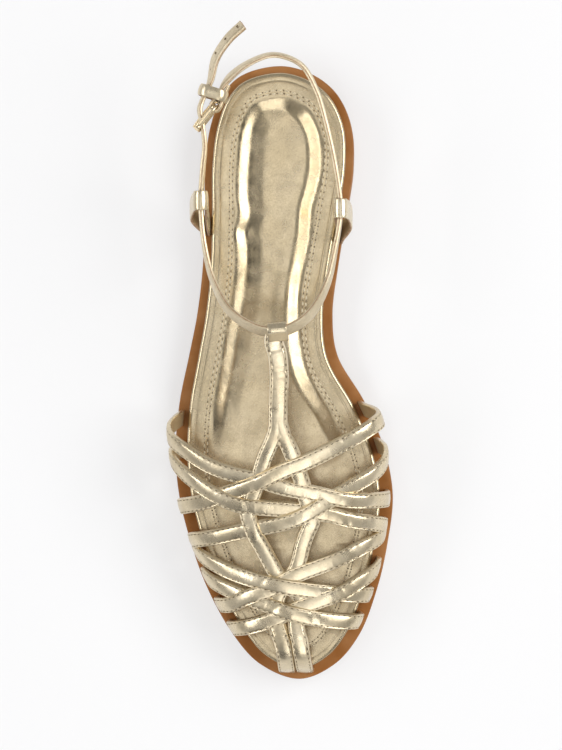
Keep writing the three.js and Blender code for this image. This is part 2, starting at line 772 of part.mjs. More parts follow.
// Where a named place lies on the ankle strap, with its directions.
function onAnkle(name) {
  const t = ANKLE.findIndex((row) => row.name === name) / (ANKLE.length - 1);
  return { at: ankleCurve.getPoint(t), ...ankleCurve.frameAt(t) };
}

function rectangle(width, height, radius) {
  const x = width / 2;
  const y = height / 2;
  const shape = new THREE.Shape();
  shape.moveTo(-x + radius, -y);
  shape.lineTo(x - radius, -y);
  shape.quadraticCurveTo(x, -y, x, -y + radius);
  shape.lineTo(x, y - radius);
  shape.quadraticCurveTo(x, y, x - radius, y);
  shape.lineTo(-x + radius, y);
  shape.quadraticCurveTo(-x, y, -x, y - radius);
  shape.lineTo(-x, -y + radius);
  shape.quadraticCurveTo(-x, -y, -x + radius, -y);
  return shape;
}

// Rounded bar round a strap's section, extruded along the strap.
function sleeve(place, thickness, width, radius, length) {
  const geometry = new THREE.ExtrudeGeometry(rectangle(thickness, width, radius), {
    depth: length,
    bevelEnabled: false,
    curveSegments: 2,
  });
  geometry.translate(0, 0, -length / 2);
  const basis = new THREE.Matrix4().makeBasis(place.normal, place.binormal, place.tangent);
  geometry.applyMatrix4(basis.setPosition(place.at));
  return solid(geometry);
}

// The woven upper: eight crossing straps, a T-strap that forks into two legs, and two toe straps.
function vampGeometry() {
  const weave = Object.values(WEAVE).map((rows) => strap(rows, STRAP_WIDTH, 24));
  const legs = Object.values(LEGS).map((rows) => strap(rows, STRAP_WIDTH, 22));
  const toes = Object.values(TOE_STRAPS).map((rows) => strap(rows, TOE_STRAP_WIDTH, 10));
  const tStrap = strap(T_STRAP, T_STRAP_WIDTH, 10);
  const wall = 2 * (TAB_THICKNESS + LOOP_PLAY);
  const loop = sleeve(
    onAnkle("instep"),
    ANKLE_STRAP_THICKNESS + wall,
    ANKLE_STRAP_WIDTH + wall,
    TAB_THICKNESS * 1.3,
    T_STRAP_WIDTH,
  );
  return toGeometry(
    join([...weave, ...legs, ...toes, tStrap, loop])
      .subtract(ankleBody(LOOP_PLAY))
      .subtract(soleSpace()),
  );
}

// Side tab: a strip that rises from the rim, folds over the ankle strap and returns to the rim.
class TabCurve extends THREE.Curve {
  constructor(name, side, bulge) {
    super();
    const loop = onAnkle(name);
    const row = ankleRow(name);
    const inner = ANKLE_STRAP_THICKNESS / 2 + LOOP_PLAY * 1.4 + TAB_THICKNESS / 2;
    const upper = ANKLE_STRAP_WIDTH / 2 + LOOP_PLAY * 1.8 + TAB_THICKNESS / 2;
    const foot = row.along + TAB_LEAN / SOLE_LENGTH;
    const [low, high] = sidesAt(SOLE, foot);
    const edge = (side < 0 ? -low : high) - TAB_THICKNESS * 0.65;
    const apart = TAB_THICKNESS + GAP;
    const z = topAt(foot) - 1;
    const x = loop.at.x * side;
    const top = loop.at.z;
    const y = (share) => THREE.MathUtils.lerp(yAt(foot), loop.at.y, share);
    const p = (out, along, up) => new THREE.Vector3(side * out, y(along), up);
    const rise = top - z;
    this.route = new THREE.CatmullRomCurve3(
      [
        p(edge, 0, z),
        p(edge + bulge * 0.25, 0.15, z + rise * 0.2),
        p(x + bulge, 0.6, z + rise * 0.5),
        p(x + inner + bulge * 0.28, 0.95, z + rise * 0.8),
        p(x + inner, 1, top),
        p(x + inner * 0.92, 1, top + upper * 0.84),
        p(x, 1, top + upper * 1.06),
        p(x - inner * 0.92, 1, top + upper * 0.84),
        p(x - inner, 1, top),
        p(x - inner + 0.2, 0.8, z + rise * 0.8),
        p(edge - apart, 0.6, z + rise * 0.5),
        p(edge - apart, 0.15, z + rise * 0.2),
        p(edge - apart, 0, z),
      ],
      false,
      "centripetal",
    );
  }

  getPoint(t, target = new THREE.Vector3()) {
    return this.route.getPoint(t, target);
  }

  computeFrenetFrames(segments) {
    const tangents = [];
    const normals = [];
    const binormals = [];
    for (let i = 0; i <= segments; i++) {
      const tangent = this.getTangentAt(i / segments);
      const width = BACK.clone().addScaledVector(tangent, -BACK.dot(tangent)).normalize();
      tangents.push(tangent);
      binormals.push(width);
      normals.push(width.clone().cross(tangent));
    }
    return { tangents, normals, binormals };
  }
}

function tabGeometry(name, side, bulge) {
  const geometry = new THREE.ExtrudeGeometry(bandSection(TAB_THICKNESS, TAB_WIDTH), {
    steps: 30,
    extrudePath: new TabCurve(name, side, bulge),
  });
  return toGeometry(solid(geometry).subtract(soleSpace()));
}

// Buckle in plan: it runs from its rear bar, where the strap is folded on, out to its front bar.
function bucklePlace() {
  const rear = new THREE.Vector3(-0.276 * BALL_WIDTH, yAt(0.0805), ANKLE_HEIGHT);
  const forwards = new THREE.Vector3(-0.62, -0.785, 0).normalize();
  const outward = new THREE.Vector3(forwards.y, -forwards.x, 0);
  return { rear, basis: new THREE.Matrix4().makeBasis(forwards, UP, outward) };
}

function buckleGeometry() {
  const { rear, basis } = bucklePlace();
  const inner = ANKLE_STRAP_WIDTH + 2 * LOOP_PLAY;
  const shape = rectangle(BUCKLE_LENGTH + BUCKLE_BAR, inner + 2 * BUCKLE_BAR, BUCKLE_BAR * 1.3);
  shape.holes.push(rectangle(BUCKLE_LENGTH - BUCKLE_BAR, inner, BUCKLE_BAR * 0.5));
  const bevel = BUCKLE_BAR * 0.22;
  const geometry = new THREE.ExtrudeGeometry(shape, {
    depth: BUCKLE_BAR - 2 * bevel,
    bevelThickness: bevel,
    bevelSize: bevel,
    bevelOffset: -bevel,
    bevelSegments: 1,
    curveSegments: 3,
  });
  geometry.translate(BUCKLE_LENGTH / 2, 0, -BUCKLE_BAR / 2 + bevel);
  geometry.applyMatrix4(basis.clone().setPosition(rear));
  return toGeometry(solid(geometry));
}

// Loop of the keeper round both layers of the strap, between the buckle and the heel.
function keeperGeometry() {
  const outer = onAnkle("keeper");
  const inner = onAnkle("tail");
  const middle = outer.at.clone().add(inner.at).multiplyScalar(0.5);
  const spread = outer.at.distanceTo(inner.at);
  const place = {
    at: middle,
    normal: outer.at.clone().sub(inner.at).setZ(0).normalize(),
    binormal: UP.clone(),
  };
  place.tangent = place.normal.clone().cross(place.binormal);
  const thickness = spread + ANKLE_STRAP_THICKNESS + 4 * LOOP_PLAY;
  const width = ANKLE_STRAP_WIDTH + 3 * LOOP_PLAY;
  const wall = KEEPER_THICKNESS;
  const band = sleeve(place, thickness + 2 * wall, width + 2 * wall, wall * 1.6, KEEPER_WIDTH);
  return toGeometry(
    band.subtract(sleeve(place, thickness, width, wall * 0.6, KEEPER_WIDTH * 2)),
  );
}

// Prong: an eye round the rear bar, and a pin that rests on the front bar.
function prongParts(clearance) {
  const { rear, basis } = bucklePlace();
  const eye = eyeRadius();
  const radius = PRONG_DIAMETER / 2 + clearance;
  const reach = BUCKLE_LENGTH + BUCKLE_BAR;
  const pin = new THREE.CylinderGeometry(radius, radius, reach, 8);
  pin.rotateZ(-Math.PI / 2);
  pin.translate(reach / 2, 0, BUCKLE_BAR / 2 + GAP + PRONG_DIAMETER / 2);
  pin.applyMatrix4(basis.clone().setPosition(rear));
  const ring = new THREE.Shape();
  ring.absarc(0, 0, eye + PRONG_DIAMETER * 0.8 + clearance, 0, Math.PI * 2);
  if (!clearance) {
    const hole = new THREE.Path();
    hole.absarc(0, 0, eye, 0, Math.PI * 2, true);
    ring.holes.push(hole);
  }
  const band = new THREE.ExtrudeGeometry(ring, {
    depth: PRONG_DIAMETER + 2 * clearance,
    bevelEnabled: false,
    curveSegments: 7,
  });
  band.translate(rear.x, rear.y, rear.z - PRONG_DIAMETER / 2 - clearance);
  return join([solid(pin), solid(band)]);
}

// Radius of the hole of whatever turns on the buckle's rear bar.
function eyeRadius() {
  return BUCKLE_BAR * 0.62 + GAP;
}

// The ankle strap's plain body, grown by a clearance.
function ankleBody(grown) {
  const section = bandSection(ANKLE_STRAP_THICKNESS + 2 * grown, ANKLE_STRAP_WIDTH + 2 * grown);
  return solid(new THREE.ExtrudeGeometry(section, { steps: 84, extrudePath: ankleCurve }));
}

// The ankle strap, folded round the buckle's rear bar and pierced by the prong.
function ankleGeometry() {
  const { rear } = bucklePlace();
  const eye = eyeRadius();
  const turn = new THREE.Shape();
  turn.absarc(0, 0, eye + ANKLE_STRAP_THICKNESS / 2, 0, Math.PI * 2);
  const fold = new THREE.ExtrudeGeometry(turn, {
    depth: ANKLE_STRAP_WIDTH,
    bevelEnabled: false,
    curveSegments: 8,
  });
  fold.translate(rear.x, rear.y, rear.z - ANKLE_STRAP_WIDTH / 2);
  const hole = new THREE.CylinderGeometry(eye, eye, ANKLE_STRAP_WIDTH * 2, 14);
  hole.rotateX(Math.PI / 2);
  hole.translate(rear.x, rear.y, rear.z);
  return toGeometry(
    join([ankleBody(0), solid(fold)]).subtract(solid(hole)).subtract(prongParts(GAP)),
  );
}

const gold = new THREE.MeshStandardMaterial({ color: 0xcbb88c, roughness: 0.34, metalness: 0.75 });
const brass = new THREE.MeshStandardMaterial({ color: 0xe0c08a, roughness: 0.2, metalness: 1 });
const tan = new THREE.MeshStandardMaterial({ color: 0xa5693a, roughness: 0.55, metalness: 0 });

const group = new THREE.Group();

function add(name, geometry, material) {
  const mesh = new THREE.Mesh(geometry, material);
  mesh.name = name;
  group.add(mesh);
}

add("outsole", outsoleGeometry(), tan);
add("insole", insoleGeometry(), gold);
add("vamp", vampGeometry(), gold);
add("tab_lateral", tabGeometry("lateral", -1, TAB_BULGE), gold);
add("tab_medial", tabGeometry("medial", 1, TAB_BULGE * 0.75), gold);
add("ankle_strap", ankleGeometry(), gold);
add("keeper", keeperGeometry(), gold);
add("buckle", buckleGeometry(), brass);
add("buckle_prong", toGeometry(prongParts(0)), brass);

export default group;
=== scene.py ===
"""Dressed model of a woven gladiator sandal, right foot, laid out as an add-on.

Lengths in the tables and functions are millimetres in the frame's axes: +Z up, the toe towards
-Y and the medial side towards +X. Meshes are made in metres.
"""

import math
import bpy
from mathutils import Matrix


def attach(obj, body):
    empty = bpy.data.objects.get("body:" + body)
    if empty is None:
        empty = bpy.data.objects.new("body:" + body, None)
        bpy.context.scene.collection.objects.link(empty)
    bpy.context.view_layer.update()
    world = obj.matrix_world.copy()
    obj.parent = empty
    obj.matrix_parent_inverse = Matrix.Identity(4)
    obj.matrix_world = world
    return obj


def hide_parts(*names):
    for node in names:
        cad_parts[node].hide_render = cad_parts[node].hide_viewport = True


bl_info = {
    "name": "Gladiator Sandal",
    "version": (1, 0, 0),
    "blender": (4, 5, 0),
    "location": "3D View > Sidebar > Sandal",
    "description": "Builds a woven leather sandal on its frame",
    "category": "Add Mesh",
}

import bpy
import numpy as np
from bpy.props import FloatProperty, FloatVectorProperty, PointerProperty
from mathutils import Matrix, Vector
from mathutils.geometry import delaunay_2d_cdt

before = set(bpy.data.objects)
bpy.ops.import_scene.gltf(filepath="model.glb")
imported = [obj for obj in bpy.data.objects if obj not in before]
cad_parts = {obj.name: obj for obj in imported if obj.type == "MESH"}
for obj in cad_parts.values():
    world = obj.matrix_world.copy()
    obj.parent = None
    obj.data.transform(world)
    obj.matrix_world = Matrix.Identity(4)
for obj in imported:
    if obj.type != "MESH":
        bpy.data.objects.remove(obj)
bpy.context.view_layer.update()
BODY = "root"
MM = 0.001
UP = np.array([0.0, 0.0, 1.0])

# Sole and insole, as in the frame.
SOLE_LENGTH = 250.7
BALL_WIDTH = 88
HEEL_HEIGHT = 16
BALL_HEIGHT = 6
TOE_SPRING = 4.5
ARCH_RISE = 7
RIM = 4
INSOLE_THICKNESS = 3.8
HEEL_CENTRE = 0.114
HEEL_BREAST = (0.248, 0.256)
HEEL_TIP = 0
TOE_TIP = 0.082

# Upper, as in the frame.
VAMP_HEIGHT = 39
T_STRAP_WIDTH = 7.6
TOE_STRAP_WIDTH = 7
TAB_WIDTH = 7.6
TAB_THICKNESS = 1.1
TAB_BULGE = 5
MEDIAL_BULGE = 0.75
TAB_LEAN = 8.5
LIFT = 1.2
TOE_EDGE = 0.945
TOE_WALL = (0.915, 0.982)

# Ankle strap, buckle and keeper, as in the frame.
ANKLE_HEIGHT = 58
ANKLE_STRAP_WIDTH = 6
ANKLE_STRAP_THICKNESS = 1.9
BUCKLE_LENGTH = 11.6
BUCKLE_BAR = 1.6
BUCKLE_REAR = (-0.276, 0.0805)
BUCKLE_WAY = (-0.62, -0.785)
PRONG_DIAMETER = 1.2
KEEPER_WIDTH = 4.6
KEEPER_THICKNESS = 1.1
GAP = 0.3
LOOP_PLAY = 0.45


def table(columns, *rows):
    """Rows of a short table under named columns."""
    names = columns.split()
    return {name: np.array([row[i] for row in rows], float) for i, name in enumerate(names)}


def tables(columns, **rows):
    """One table for each name, all under the same columns."""
    return {name: table(columns, *given) for name, given in rows.items()}


OUTLINE = table(
    "along lateral medial",
    (0.015, 0.185, 0.15),
    (0.046, 0.273, 0.257),
    (0.098, 0.33, 0.324),
    (0.165, 0.355, 0.333),
    (0.241, 0.358, 0.302),
    (0.327, 0.368, 0.261),
    (0.403, 0.395, 0.235),
    (0.47, 0.434, 0.257),
    (0.546, 0.48, 0.382),
    (0.623, 0.5, 0.475),
    (0.699, 0.485, 0.516),
    (0.776, 0.431, 0.493),
    (0.852, 0.352, 0.444),
    (0.928, 0.23, 0.36),
    (0.976, 0.103, 0.245),
)
TOP = table(
    "along drop spring",
    (0, 1, 0),
    (0.16, 0.98, 0),
    (0.3, 0.79, 0),
    (0.42, 0.48, 0),
    (0.54, 0.16, 0),
    (0.64, 0.02, 0),
    (0.76, 0, 0),
    (0.88, 0, 0.3),
    (1, 0, 1),
)
UNDERSIDE = table(
    "along arch spring",
    (0.256, 1, 0),
    (0.3, 0.9, 0),
    (0.36, 0.72, 0),
    (0.42, 0.5, 0),
    (0.5, 0.18, 0),
    (0.56, 0, 0),
    (0.78, 0, 0),
    (0.88, 0, 0.3),
    (1, 0, 1),
)
MARGIN = table(
    "along rim",
    (0, 0.78),
    (0.2, 0.8),
    (0.42, 0.95),
    (0.6, 1.22),
    (0.75, 1.3),
    (0.9, 1.3),
    (1, 1.08),
)
FORM = table(
    "along crown flare_lateral flare_medial lateral medial",
    (0.42, 1.36, 1.15, 1.3, 0.2, 0.25),
    (0.5, 1.27, 1.15, 1.3, 0.2, 0.25),
    (0.58, 1.16, 1, 1.2, 0.2, 0.3),
    (0.66, 1, 0.8, 0.75, 0.26, 0.35),
    (0.74, 0.83, 0.7, 0.6, 0.3, 0.42),
    (0.82, 0.67, 0.65, 0.7, 0.45, 0.5),
    (0.9, 0.55, 0.65, 0.76, 0.45, 0.75),
    (1, 0.45, 0.65, 0.76, 0.45, 0.75),
)

# Straps over the foot, by their place along the sole, their girth from the lateral to the medial
# rim, and their lift over what they cross.
STRAPS = tables(
    "along girth lift",
    strap_a=[
        (0.572, -0.02, 0),
        (0.578, 0.08, 0),
        (0.59, 0.17, 0),
        (0.606, 0.25, 0),
        (0.62, 0.305, 0),
        (0.647, 0.375, 0),
        (0.6615, 0.428, 0),
        (0.667, 0.458, 0),
        (0.68, 0.503, 0),
        (0.69, 0.565, 0.3),
        (0.699, 0.63, 1),
        (0.702, 0.72, 0.4),
        (0.703, 0.82, 0),
        (0.703, 0.92, 0),
        (0.703, 1.02, 0),
    ],
    strap_b=[
        (0.558, 1.02, 0),
        (0.562, 0.92, 0),
        (0.568, 0.83, 0),
        (0.574, 0.77, 0),
        (0.584, 0.7, 0),
        (0.606, 0.63, 0),
        (0.6355, 0.558, 0.6),
        (0.654, 0.505, 1),
        (0.671, 0.465, 1),
        (0.684, 0.423, 0.6),
        (0.6935, 0.386, 0.1),
        (0.7066, 0.325, 0),
        (0.713, 0.24, 0),
        (0.716, 0.12, 0),
        (0.717, -0.02, 0),
    ],
    strap_c=[
        (0.627, -0.02, 0),
        (0.628, 0.1, 0),
        (0.636, 0.2, 0),
        (0.6505, 0.26, 0),
        (0.669, 0.318, 0.5),
        (0.6917, 0.374, 1),
        (0.7068, 0.4165, 1),
        (0.7123, 0.4597, 0.5),
        (0.716, 0.51, 0),
        (0.7235, 0.587, 0),
        (0.733, 0.644, 0),
        (0.74, 0.73, 0),
        (0.7455, 0.83, 0),
        (0.748, 0.93, 0),
        (0.748, 1.02, 0),
    ],
    strap_d=[
        (0.773, -0.02, 0),
        (0.772, 0.1, 0),
        (0.769, 0.22, 0),
        (0.763, 0.33, 0),
        (0.7516, 0.417, 0),
        (0.744, 0.465, 0.2),
        (0.735, 0.509, 0.8),
        (0.7235, 0.542, 1.2),
        (0.7087, 0.576, 0.8),
        (0.6823, 0.6385, 0),
        (0.6637, 0.698, 0),
        (0.644, 0.77, 0),
        (0.628, 0.84, 0),
        (0.62, 0.92, 0),
        (0.618, 1.02, 0),
    ],
    strap_e=[
        (0.757, 1.02, 0),
        (0.757, 0.92, 0),
        (0.761, 0.82, 0),
        (0.776, 0.705, 0),
        (0.7915, 0.639, 0),
        (0.808, 0.572, 0.2),
        (0.8233, 0.514, 0.6),
        (0.8345, 0.485, 0.6),
        (0.846, 0.457, 0.8),
        (0.859, 0.387, 1),
        (0.872, 0.315, 0.3),
        (0.875, 0.2, 0),
        (0.875, 0.09, 0),
        (0.875, -0.02, 0),
    ],
    strap_f=[
        (0.784, -0.02, 0),
        (0.7845, 0.08, 0),
        (0.789, 0.2, 0),
        (0.808, 0.303, 0),
        (0.823, 0.375, 0.2),
        (0.8327, 0.432, 1),
        (0.84, 0.485, 1.6),
        (0.846, 0.54, 1),
        (0.855, 0.665, 0),
        (0.857, 0.77, 0),
        (0.858, 0.88, 0),
        (0.858, 1.02, 0),
    ],
    strap_g=[
        (0.812, 1.02, 0),
        (0.811, 0.92, 0),
        (0.813, 0.82, 0),
        (0.831, 0.7, 0.6),
        (0.8477, 0.645, 1),
        (0.8626, 0.581, 0.8),
        (0.8758, 0.5256, 0.4),
        (0.8944, 0.4544, 0.3),
        (0.9058, 0.371, 0.5),
        (0.912, 0.25, 0),
        (0.913, 0.12, 0),
        (0.913, -0.02, 0),
    ],
    strap_h=[
        (0.826, -0.02, 0),
        (0.826, 0.09, 0),
        (0.829, 0.19, 0),
        (0.84, 0.27, 0),
        (0.855, 0.357, 0),
        (0.87, 0.4325, 0.4),
        (0.883, 0.492, 1.4),
        (0.8925, 0.562, 1),
        (0.899, 0.675, 0),
        (0.9, 0.78, 0),
        (0.9, 0.88, 0),
        (0.9, 1.02, 0),
    ],
    leg_left=[
        (0.575, 0.512, 0),
        (0.597, 0.504, 0),
        (0.632, 0.482, 0),
        (0.6747, 0.46, 0),
        (0.7, 0.445, 0.1),
        (0.72, 0.434, 0.5),
        (0.7367, 0.436, 0.9),
        (0.7535, 0.44, 0.9),
        (0.772, 0.448, 0.3),
        (0.8175, 0.471, 0),
        (0.8365, 0.485, 0),
        (0.8625, 0.468, 0),
        (0.884, 0.455, -0.2),
    ],
    leg_right=[
        (0.575, 0.514, 0),
        (0.597, 0.518, 0),
        (0.632, 0.529, 0),
        (0.6655, 0.539, 0),
        (0.703, 0.548, 0),
        (0.733, 0.558, 0),
        (0.7555, 0.546, 0),
        (0.772, 0.537, 0),
        (0.81, 0.52, 0),
        (0.8365, 0.502, 0),
        (0.8625, 0.53, 0),
        (0.884, 0.525, -0.2),
    ],
    toe_strap_left=[
        (0.872, 0.455, -0.1),
        (0.8944, 0.453, -0.1),
        (0.9115, 0.455, 0),
        (0.936, 0.462, 0),
        (0.958, 0.466, 0),
        (0.974, 0.468, 0),
        (0.981, 0.469, 0),
        (0.986, 0.47, 0),
    ],
    toe_strap_right=[
        (0.872, 0.524, -0.1),
        (0.8944, 0.516, -0.1),
        (0.9115, 0.515, 0),
        (0.936, 0.526, 0),
        (0.958, 0.535, 0),
        (0.974, 0.54, 0),
        (0.981, 0.542, 0),
        (0.986, 0.543, 0),
    ],
    t_strap=[
        (0.436, 0.538, 0.6),
        (0.45, 0.536, 0.3),
        (0.47, 0.541, 0),
        (0.5, 0.535, 0),
        (0.53, 0.524, 0),
        (0.56, 0.516, 0),
        (0.585, 0.512, 0),
        (0.6, 0.512, 0),
    ],
)

# Creases across the straps, by their share of a strap's length. A trough has a depth above zero and
# a ridge one below it. The width runs along the strap, and the slant shifts it from edge to edge.
CREASES = tables(
    "share depth width slant",
    strap_a=[
        (0.09, 0.13, 2.75, 0.3),
        (0.2, -0.12, 4, -0.4),
        (0.33, 0.1, 1.88, 0.5),
        (0.54, -0.15, 4.5, 0.2),
        (0.63, 0.18, 1.62, -0.3),
        (0.7, 0.13, 1.38, 0.4),
        (0.78, -0.11, 3, 0),
        (0.9, 0.12, 1.75, -0.4),
    ],
    strap_b=[
        (0.1, 0.16, 2, 0.4),
        (0.24, -0.13, 4.25, 0.2),
        (0.36, 0.14, 1.5, -0.5),
        (0.47, -0.12, 3.75, 0.3),
        (0.62, 0.13, 1.75, 0.4),
        (0.76, -0.1, 4.25, 0),
        (0.92, 0.12, 2, -0.3),
    ],
    strap_c=[
        (0.1, 0.12, 2.25, 0.3),
        (0.28, -0.12, 4.25, 0),
        (0.44, 0.12, 1.75, -0.4),
        (0.6, 0.18, 1.5, 0.5),
        (0.66, -0.18, 2.75, 0.2),
        (0.73, 0.17, 1.38, -0.3),
        (0.84, -0.14, 3, 0.3),
        (0.93, 0.13, 1.62, 0.2),
    ],
    strap_d=[
        (0.14, -0.11, 3.75, 0.2),
        (0.31, 0.12, 1.88, -0.3),
        (0.5, -0.13, 3.75, 0.4),
        (0.6, 0.14, 1.62, 0.3),
        (0.74, -0.12, 4, -0.2),
        (0.88, 0.18, 1.88, 0.5),
    ],
    strap_e=[
        (0.08, 0.15, 2, -0.3),
        (0.19, -0.12, 3.25, 0.3),
        (0.3, 0.15, 1.5, 0.5),
        (0.4, -0.16, 3.75, 0.2),
        (0.56, 0.12, 1.88, -0.3),
        (0.7, -0.1, 4.25, 0),
        (0.86, 0.12, 2, 0.4),
    ],
    strap_f=[
        (0.12, 0.13, 2.25, 0.4),
        (0.3, -0.11, 3.75, 0),
        (0.43, 0.12, 1.62, 0.4),
        (0.6, -0.12, 3.5, -0.3),
        (0.7, 0.16, 1.5, 0.3),
        (0.87, 0.12, 1.75, -0.4),
    ],
    strap_g=[
        (0.12, 0.14, 1.88, 0.4),
        (0.25, -0.18, 3.25, 0.3),
        (0.34, 0.18, 1.38, -0.4),
        (0.42, -0.13, 2.5, 0.2),
        (0.6, 0.12, 1.88, 0.4),
        (0.8, -0.1, 3.75, 0),
    ],
    strap_h=[
        (0.12, 0.13, 2.12, 0.3),
        (0.3, -0.11, 3.5, -0.2),
        (0.48, 0.18, 1.38, 0.4),
        (0.56, -0.18, 2.75, 0.2),
        (0.64, 0.16, 1.38, -0.4),
        (0.8, -0.12, 3.5, 0.3),
    ],
    leg_left=[
        (0.12, -0.12, 3.75, 0.2),
        (0.3, 0.12, 1.75, 0.4),
        (0.52, 0.14, 1.62, -0.4),
        (0.66, -0.14, 3.75, 0.2),
        (0.8, 0.12, 1.5, 0.3),
    ],
    leg_right=[
        (0.14, -0.11, 3.75, 0),
        (0.33, 0.13, 1.75, -0.4),
        (0.55, 0.12, 1.88, 0.4),
        (0.7, -0.16, 3.75, -0.2),
        (0.84, 0.13, 1.5, 0.3),
    ],
    toe_strap_left=[
        (0.3, -0.13, 3.25, 0.3),
        (0.5, 0.16, 1.62, -0.3),
        (0.78, -0.12, 3, 0),
    ],
    toe_strap_right=[
        (0.35, 0.14, 1.75, 0.3),
        (0.55, -0.14, 3, -0.2),
        (0.8, 0.12, 1.5, 0.4),
    ],
    t_strap=[
        (0.155, 0.26, 0.7, 0),
        (0.22, -0.12, 2.4, 0),
        (0.31, 0.1, 0.9, 0.1),
        (0.36, 0.13, 0.8, -0.15),
        (0.41, 0.1, 1, 0.1),
        (0.6, -0.12, 4, 0.2),
        (0.76, 0.12, 2, 0.3),
        (0.92, 0.16, 1.6, -0.2),
    ],
)

# Route of the ankle strap: place along the sole, across as a share of the ball width, up as a
# share of the ankle height, and the tilt of its outer face upwards in degrees.
ANKLE = table(
    "along across up tilt",
    (0.076, -0.266, 1, 2),
    (0.064, -0.257, 1, 3),
    (0.034, -0.207, 1.01, 24),
    (0.009, -0.1, 1.03, 16),
    (0.001, -0.008, 1.035, 12),
    (0.016, 0.106, 1.02, 8),
    (0.055, 0.174, 1, 4),
    (0.11, 0.22, 0.98, 0),
    (0.178, 0.261, 0.94, 0),
    (0.241, 0.282, 0.9, 0),
    (0.3, 0.26, 0.92, 4),
    (0.36, 0.222, 0.98, 14),
    (0.405, 0.155, 1.06, 26),
    (0.428, 0.075, 1.12, 32),
    (0.435, 0.006, 1.14, 33),
    (0.431, -0.085, 1.11, 31),
    (0.404, -0.208, 1.03, 24),
    (0.355, -0.289, 0.95, 14),
    (0.295, -0.332, 0.9, 6),
    (0.228, -0.346, 0.9, 0),
    (0.178, -0.336, 0.94, 0),
    (0.14, -0.326, 0.97, 2),
    (0.104, -0.338, 1, 4),
    (0.084, -0.347, 1, 8),
    (0.057, -0.317, 1, 5),
    (0.04, -0.298, 1.01, 16),
    (0.006, -0.274, 1.035, 30),
    (-0.024, -0.216, 1.06, 36),
    (-0.045, -0.15, 1.08, 40),
)
ANKLE_PLACES = {"tail": 1, "medial": 9, "instep": 14, "lateral": 19, "keeper": 24}


def length_property(name, description, default):
    return FloatProperty(name=name, description=description, default=default, unit="LENGTH", min=0)


def colour_property(name, description, default):
    return FloatVectorProperty(
        name=name, description=description, default=default, subtype="COLOR", size=3, min=0, max=1
    )


class SandalSizes(bpy.types.PropertyGroup):
    """Sizes that change the fine surface without moving a piece off the frame."""

    strap_width: length_property("Strap Width", "Width of the woven straps", 0.0067)
    strap_thickness: length_property("Strap Thickness", "Thickness of a folded strap", 0.0018)
    stitch_inset: length_property("Stitch Inset", "From a strap's edge to its stitches", 0.0009)
    stitch_pitch: length_property("Stitch Pitch", "From one stitch of a strap to the next", 0.0024)
    footbed_pitch: length_property("Footbed Stitch Pitch", "From one footbed stitch to the next", 0.0028)
    cup_depth: length_property("Cup Depth", "Depth of the cupped footbed", 0.0027)
    tread_depth: length_property("Tread Depth", "Depth of the grooves under the sole", 0.0006)
    hole_diameter: length_property("Strap Hole Diameter", "Width of the ankle strap's holes", 0.0011)


class SandalColours(bpy.types.PropertyGroup):
    """Base colours of the finishes."""

    foil: colour_property("Strap Foil", "Pale gold face of the straps", (0.77, 0.665, 0.48))
    gold: colour_property("Footbed Foil", "Gold face of the footbed", (0.6, 0.5, 0.335))
    gold_dark: colour_property("Gold Shade", "Mottling of the foil, and lining", (0.5, 0.4, 0.24))
    tan: colour_property("Raw Edge", "Cut edges of the straps", (0.42, 0.23, 0.1))
    sole: colour_property("Sole", "Tan sole", (0.3, 0.11, 0.02))
    thread: colour_property("Thread", "Stitching thread", (0.7, 0.6, 0.42))
    metal: colour_property("Buckle Metal", "Plating of the buckle", (0.92, 0.76, 0.5))
    # The hole colour is painted shade: the dark inside of needle and strap holes, which lies in shade.
    hole_shade: colour_property("Painted Hole Shade", "Inside of needle and strap holes", (0.22, 0.16, 0.09))
    floor: colour_property("Floor", "Studio floor", (0.34, 0.34, 0.345))


def sizes():
    return bpy.context.scene.sandal_sizes


def colours():
    return bpy.context.scene.sandal_colours


# Curves and the form of the foot.


def read(rows, column, along):
    """One column of a table at places along the sole, by a smooth curve through its rows."""
    x, y = rows["along"], rows[column]
    last = len(x) - 1
    at = np.clip(np.asarray(along, float), x[0], x[last])
    i = np.clip(np.searchsorted(x, at, side="left") - 1, 0, last - 1)
    low = np.maximum(np.arange(last + 1) - 1, 0)
    high = np.minimum(np.arange(last + 1) + 1, last)
    slope = (y[high] - y[low]) / (x[high] - x[low])
    h = x[i + 1] - x[i]
    t = (at - x[i]) / h
    return (
        (2 * t**3 - 3 * t**2 + 1) * y[i]
        + (t**3 - 2 * t**2 + t) * h * slope[i]
        + (3 * t**2 - 2 * t**3) * y[i + 1]
        + (t**3 - t**2) * h * slope[i + 1]
    )


def through(points, count, closed=False):
    """Centripetal curve through points, at evenly spaced parameters."""
    points = np.asarray(points, float)
    size = len(points)
    last = size if closed else size - 1
    place = np.linspace(0, last, count + 1)
    i = np.minimum(place.astype(int), last - 1)
    w = (place - i)[:, None]

    def at(k):
        if closed:
            return points[k % size]
        inside = points[np.clip(k, 0, last)]
        inside = np.where((k < 0)[:, None], 2 * points[0] - points[1], inside)
        return np.where((k > last)[:, None], 2 * points[-1] - points[-2], inside)

    def knot(a, b):
        return np.maximum(np.sum((a - b) ** 2, axis=1), 1e-12)[:, None] ** 0.25

    p0, p1, p2, p3 = (at(i + k) for k in (-1, 0, 1, 2))
    d0, d1, d2 = knot(p0, p1), knot(p1, p2), knot(p2, p3)
    t1 = ((p1 - p0) / d0 - (p2 - p0) / (d0 + d1) + (p2 - p1) / d1) * d1
    t2 = ((p2 - p1) / d1 - (p3 - p1) / (d1 + d2) + (p3 - p2) / d2) * d1
    second = -3 * p1 + 3 * p2 - 2 * t1 - t2
    third = 2 * p1 - 2 * p2 + t1 + t2
    return p1 + t1 * w + second * w**2 + third * w**3


def y_at(along):
    return (HEEL_CENTRE - np.asarray(along, float)) * SOLE_LENGTH


def along_at(y):
    return HEEL_CENTRE - np.asarray(y, float) / SOLE_LENGTH


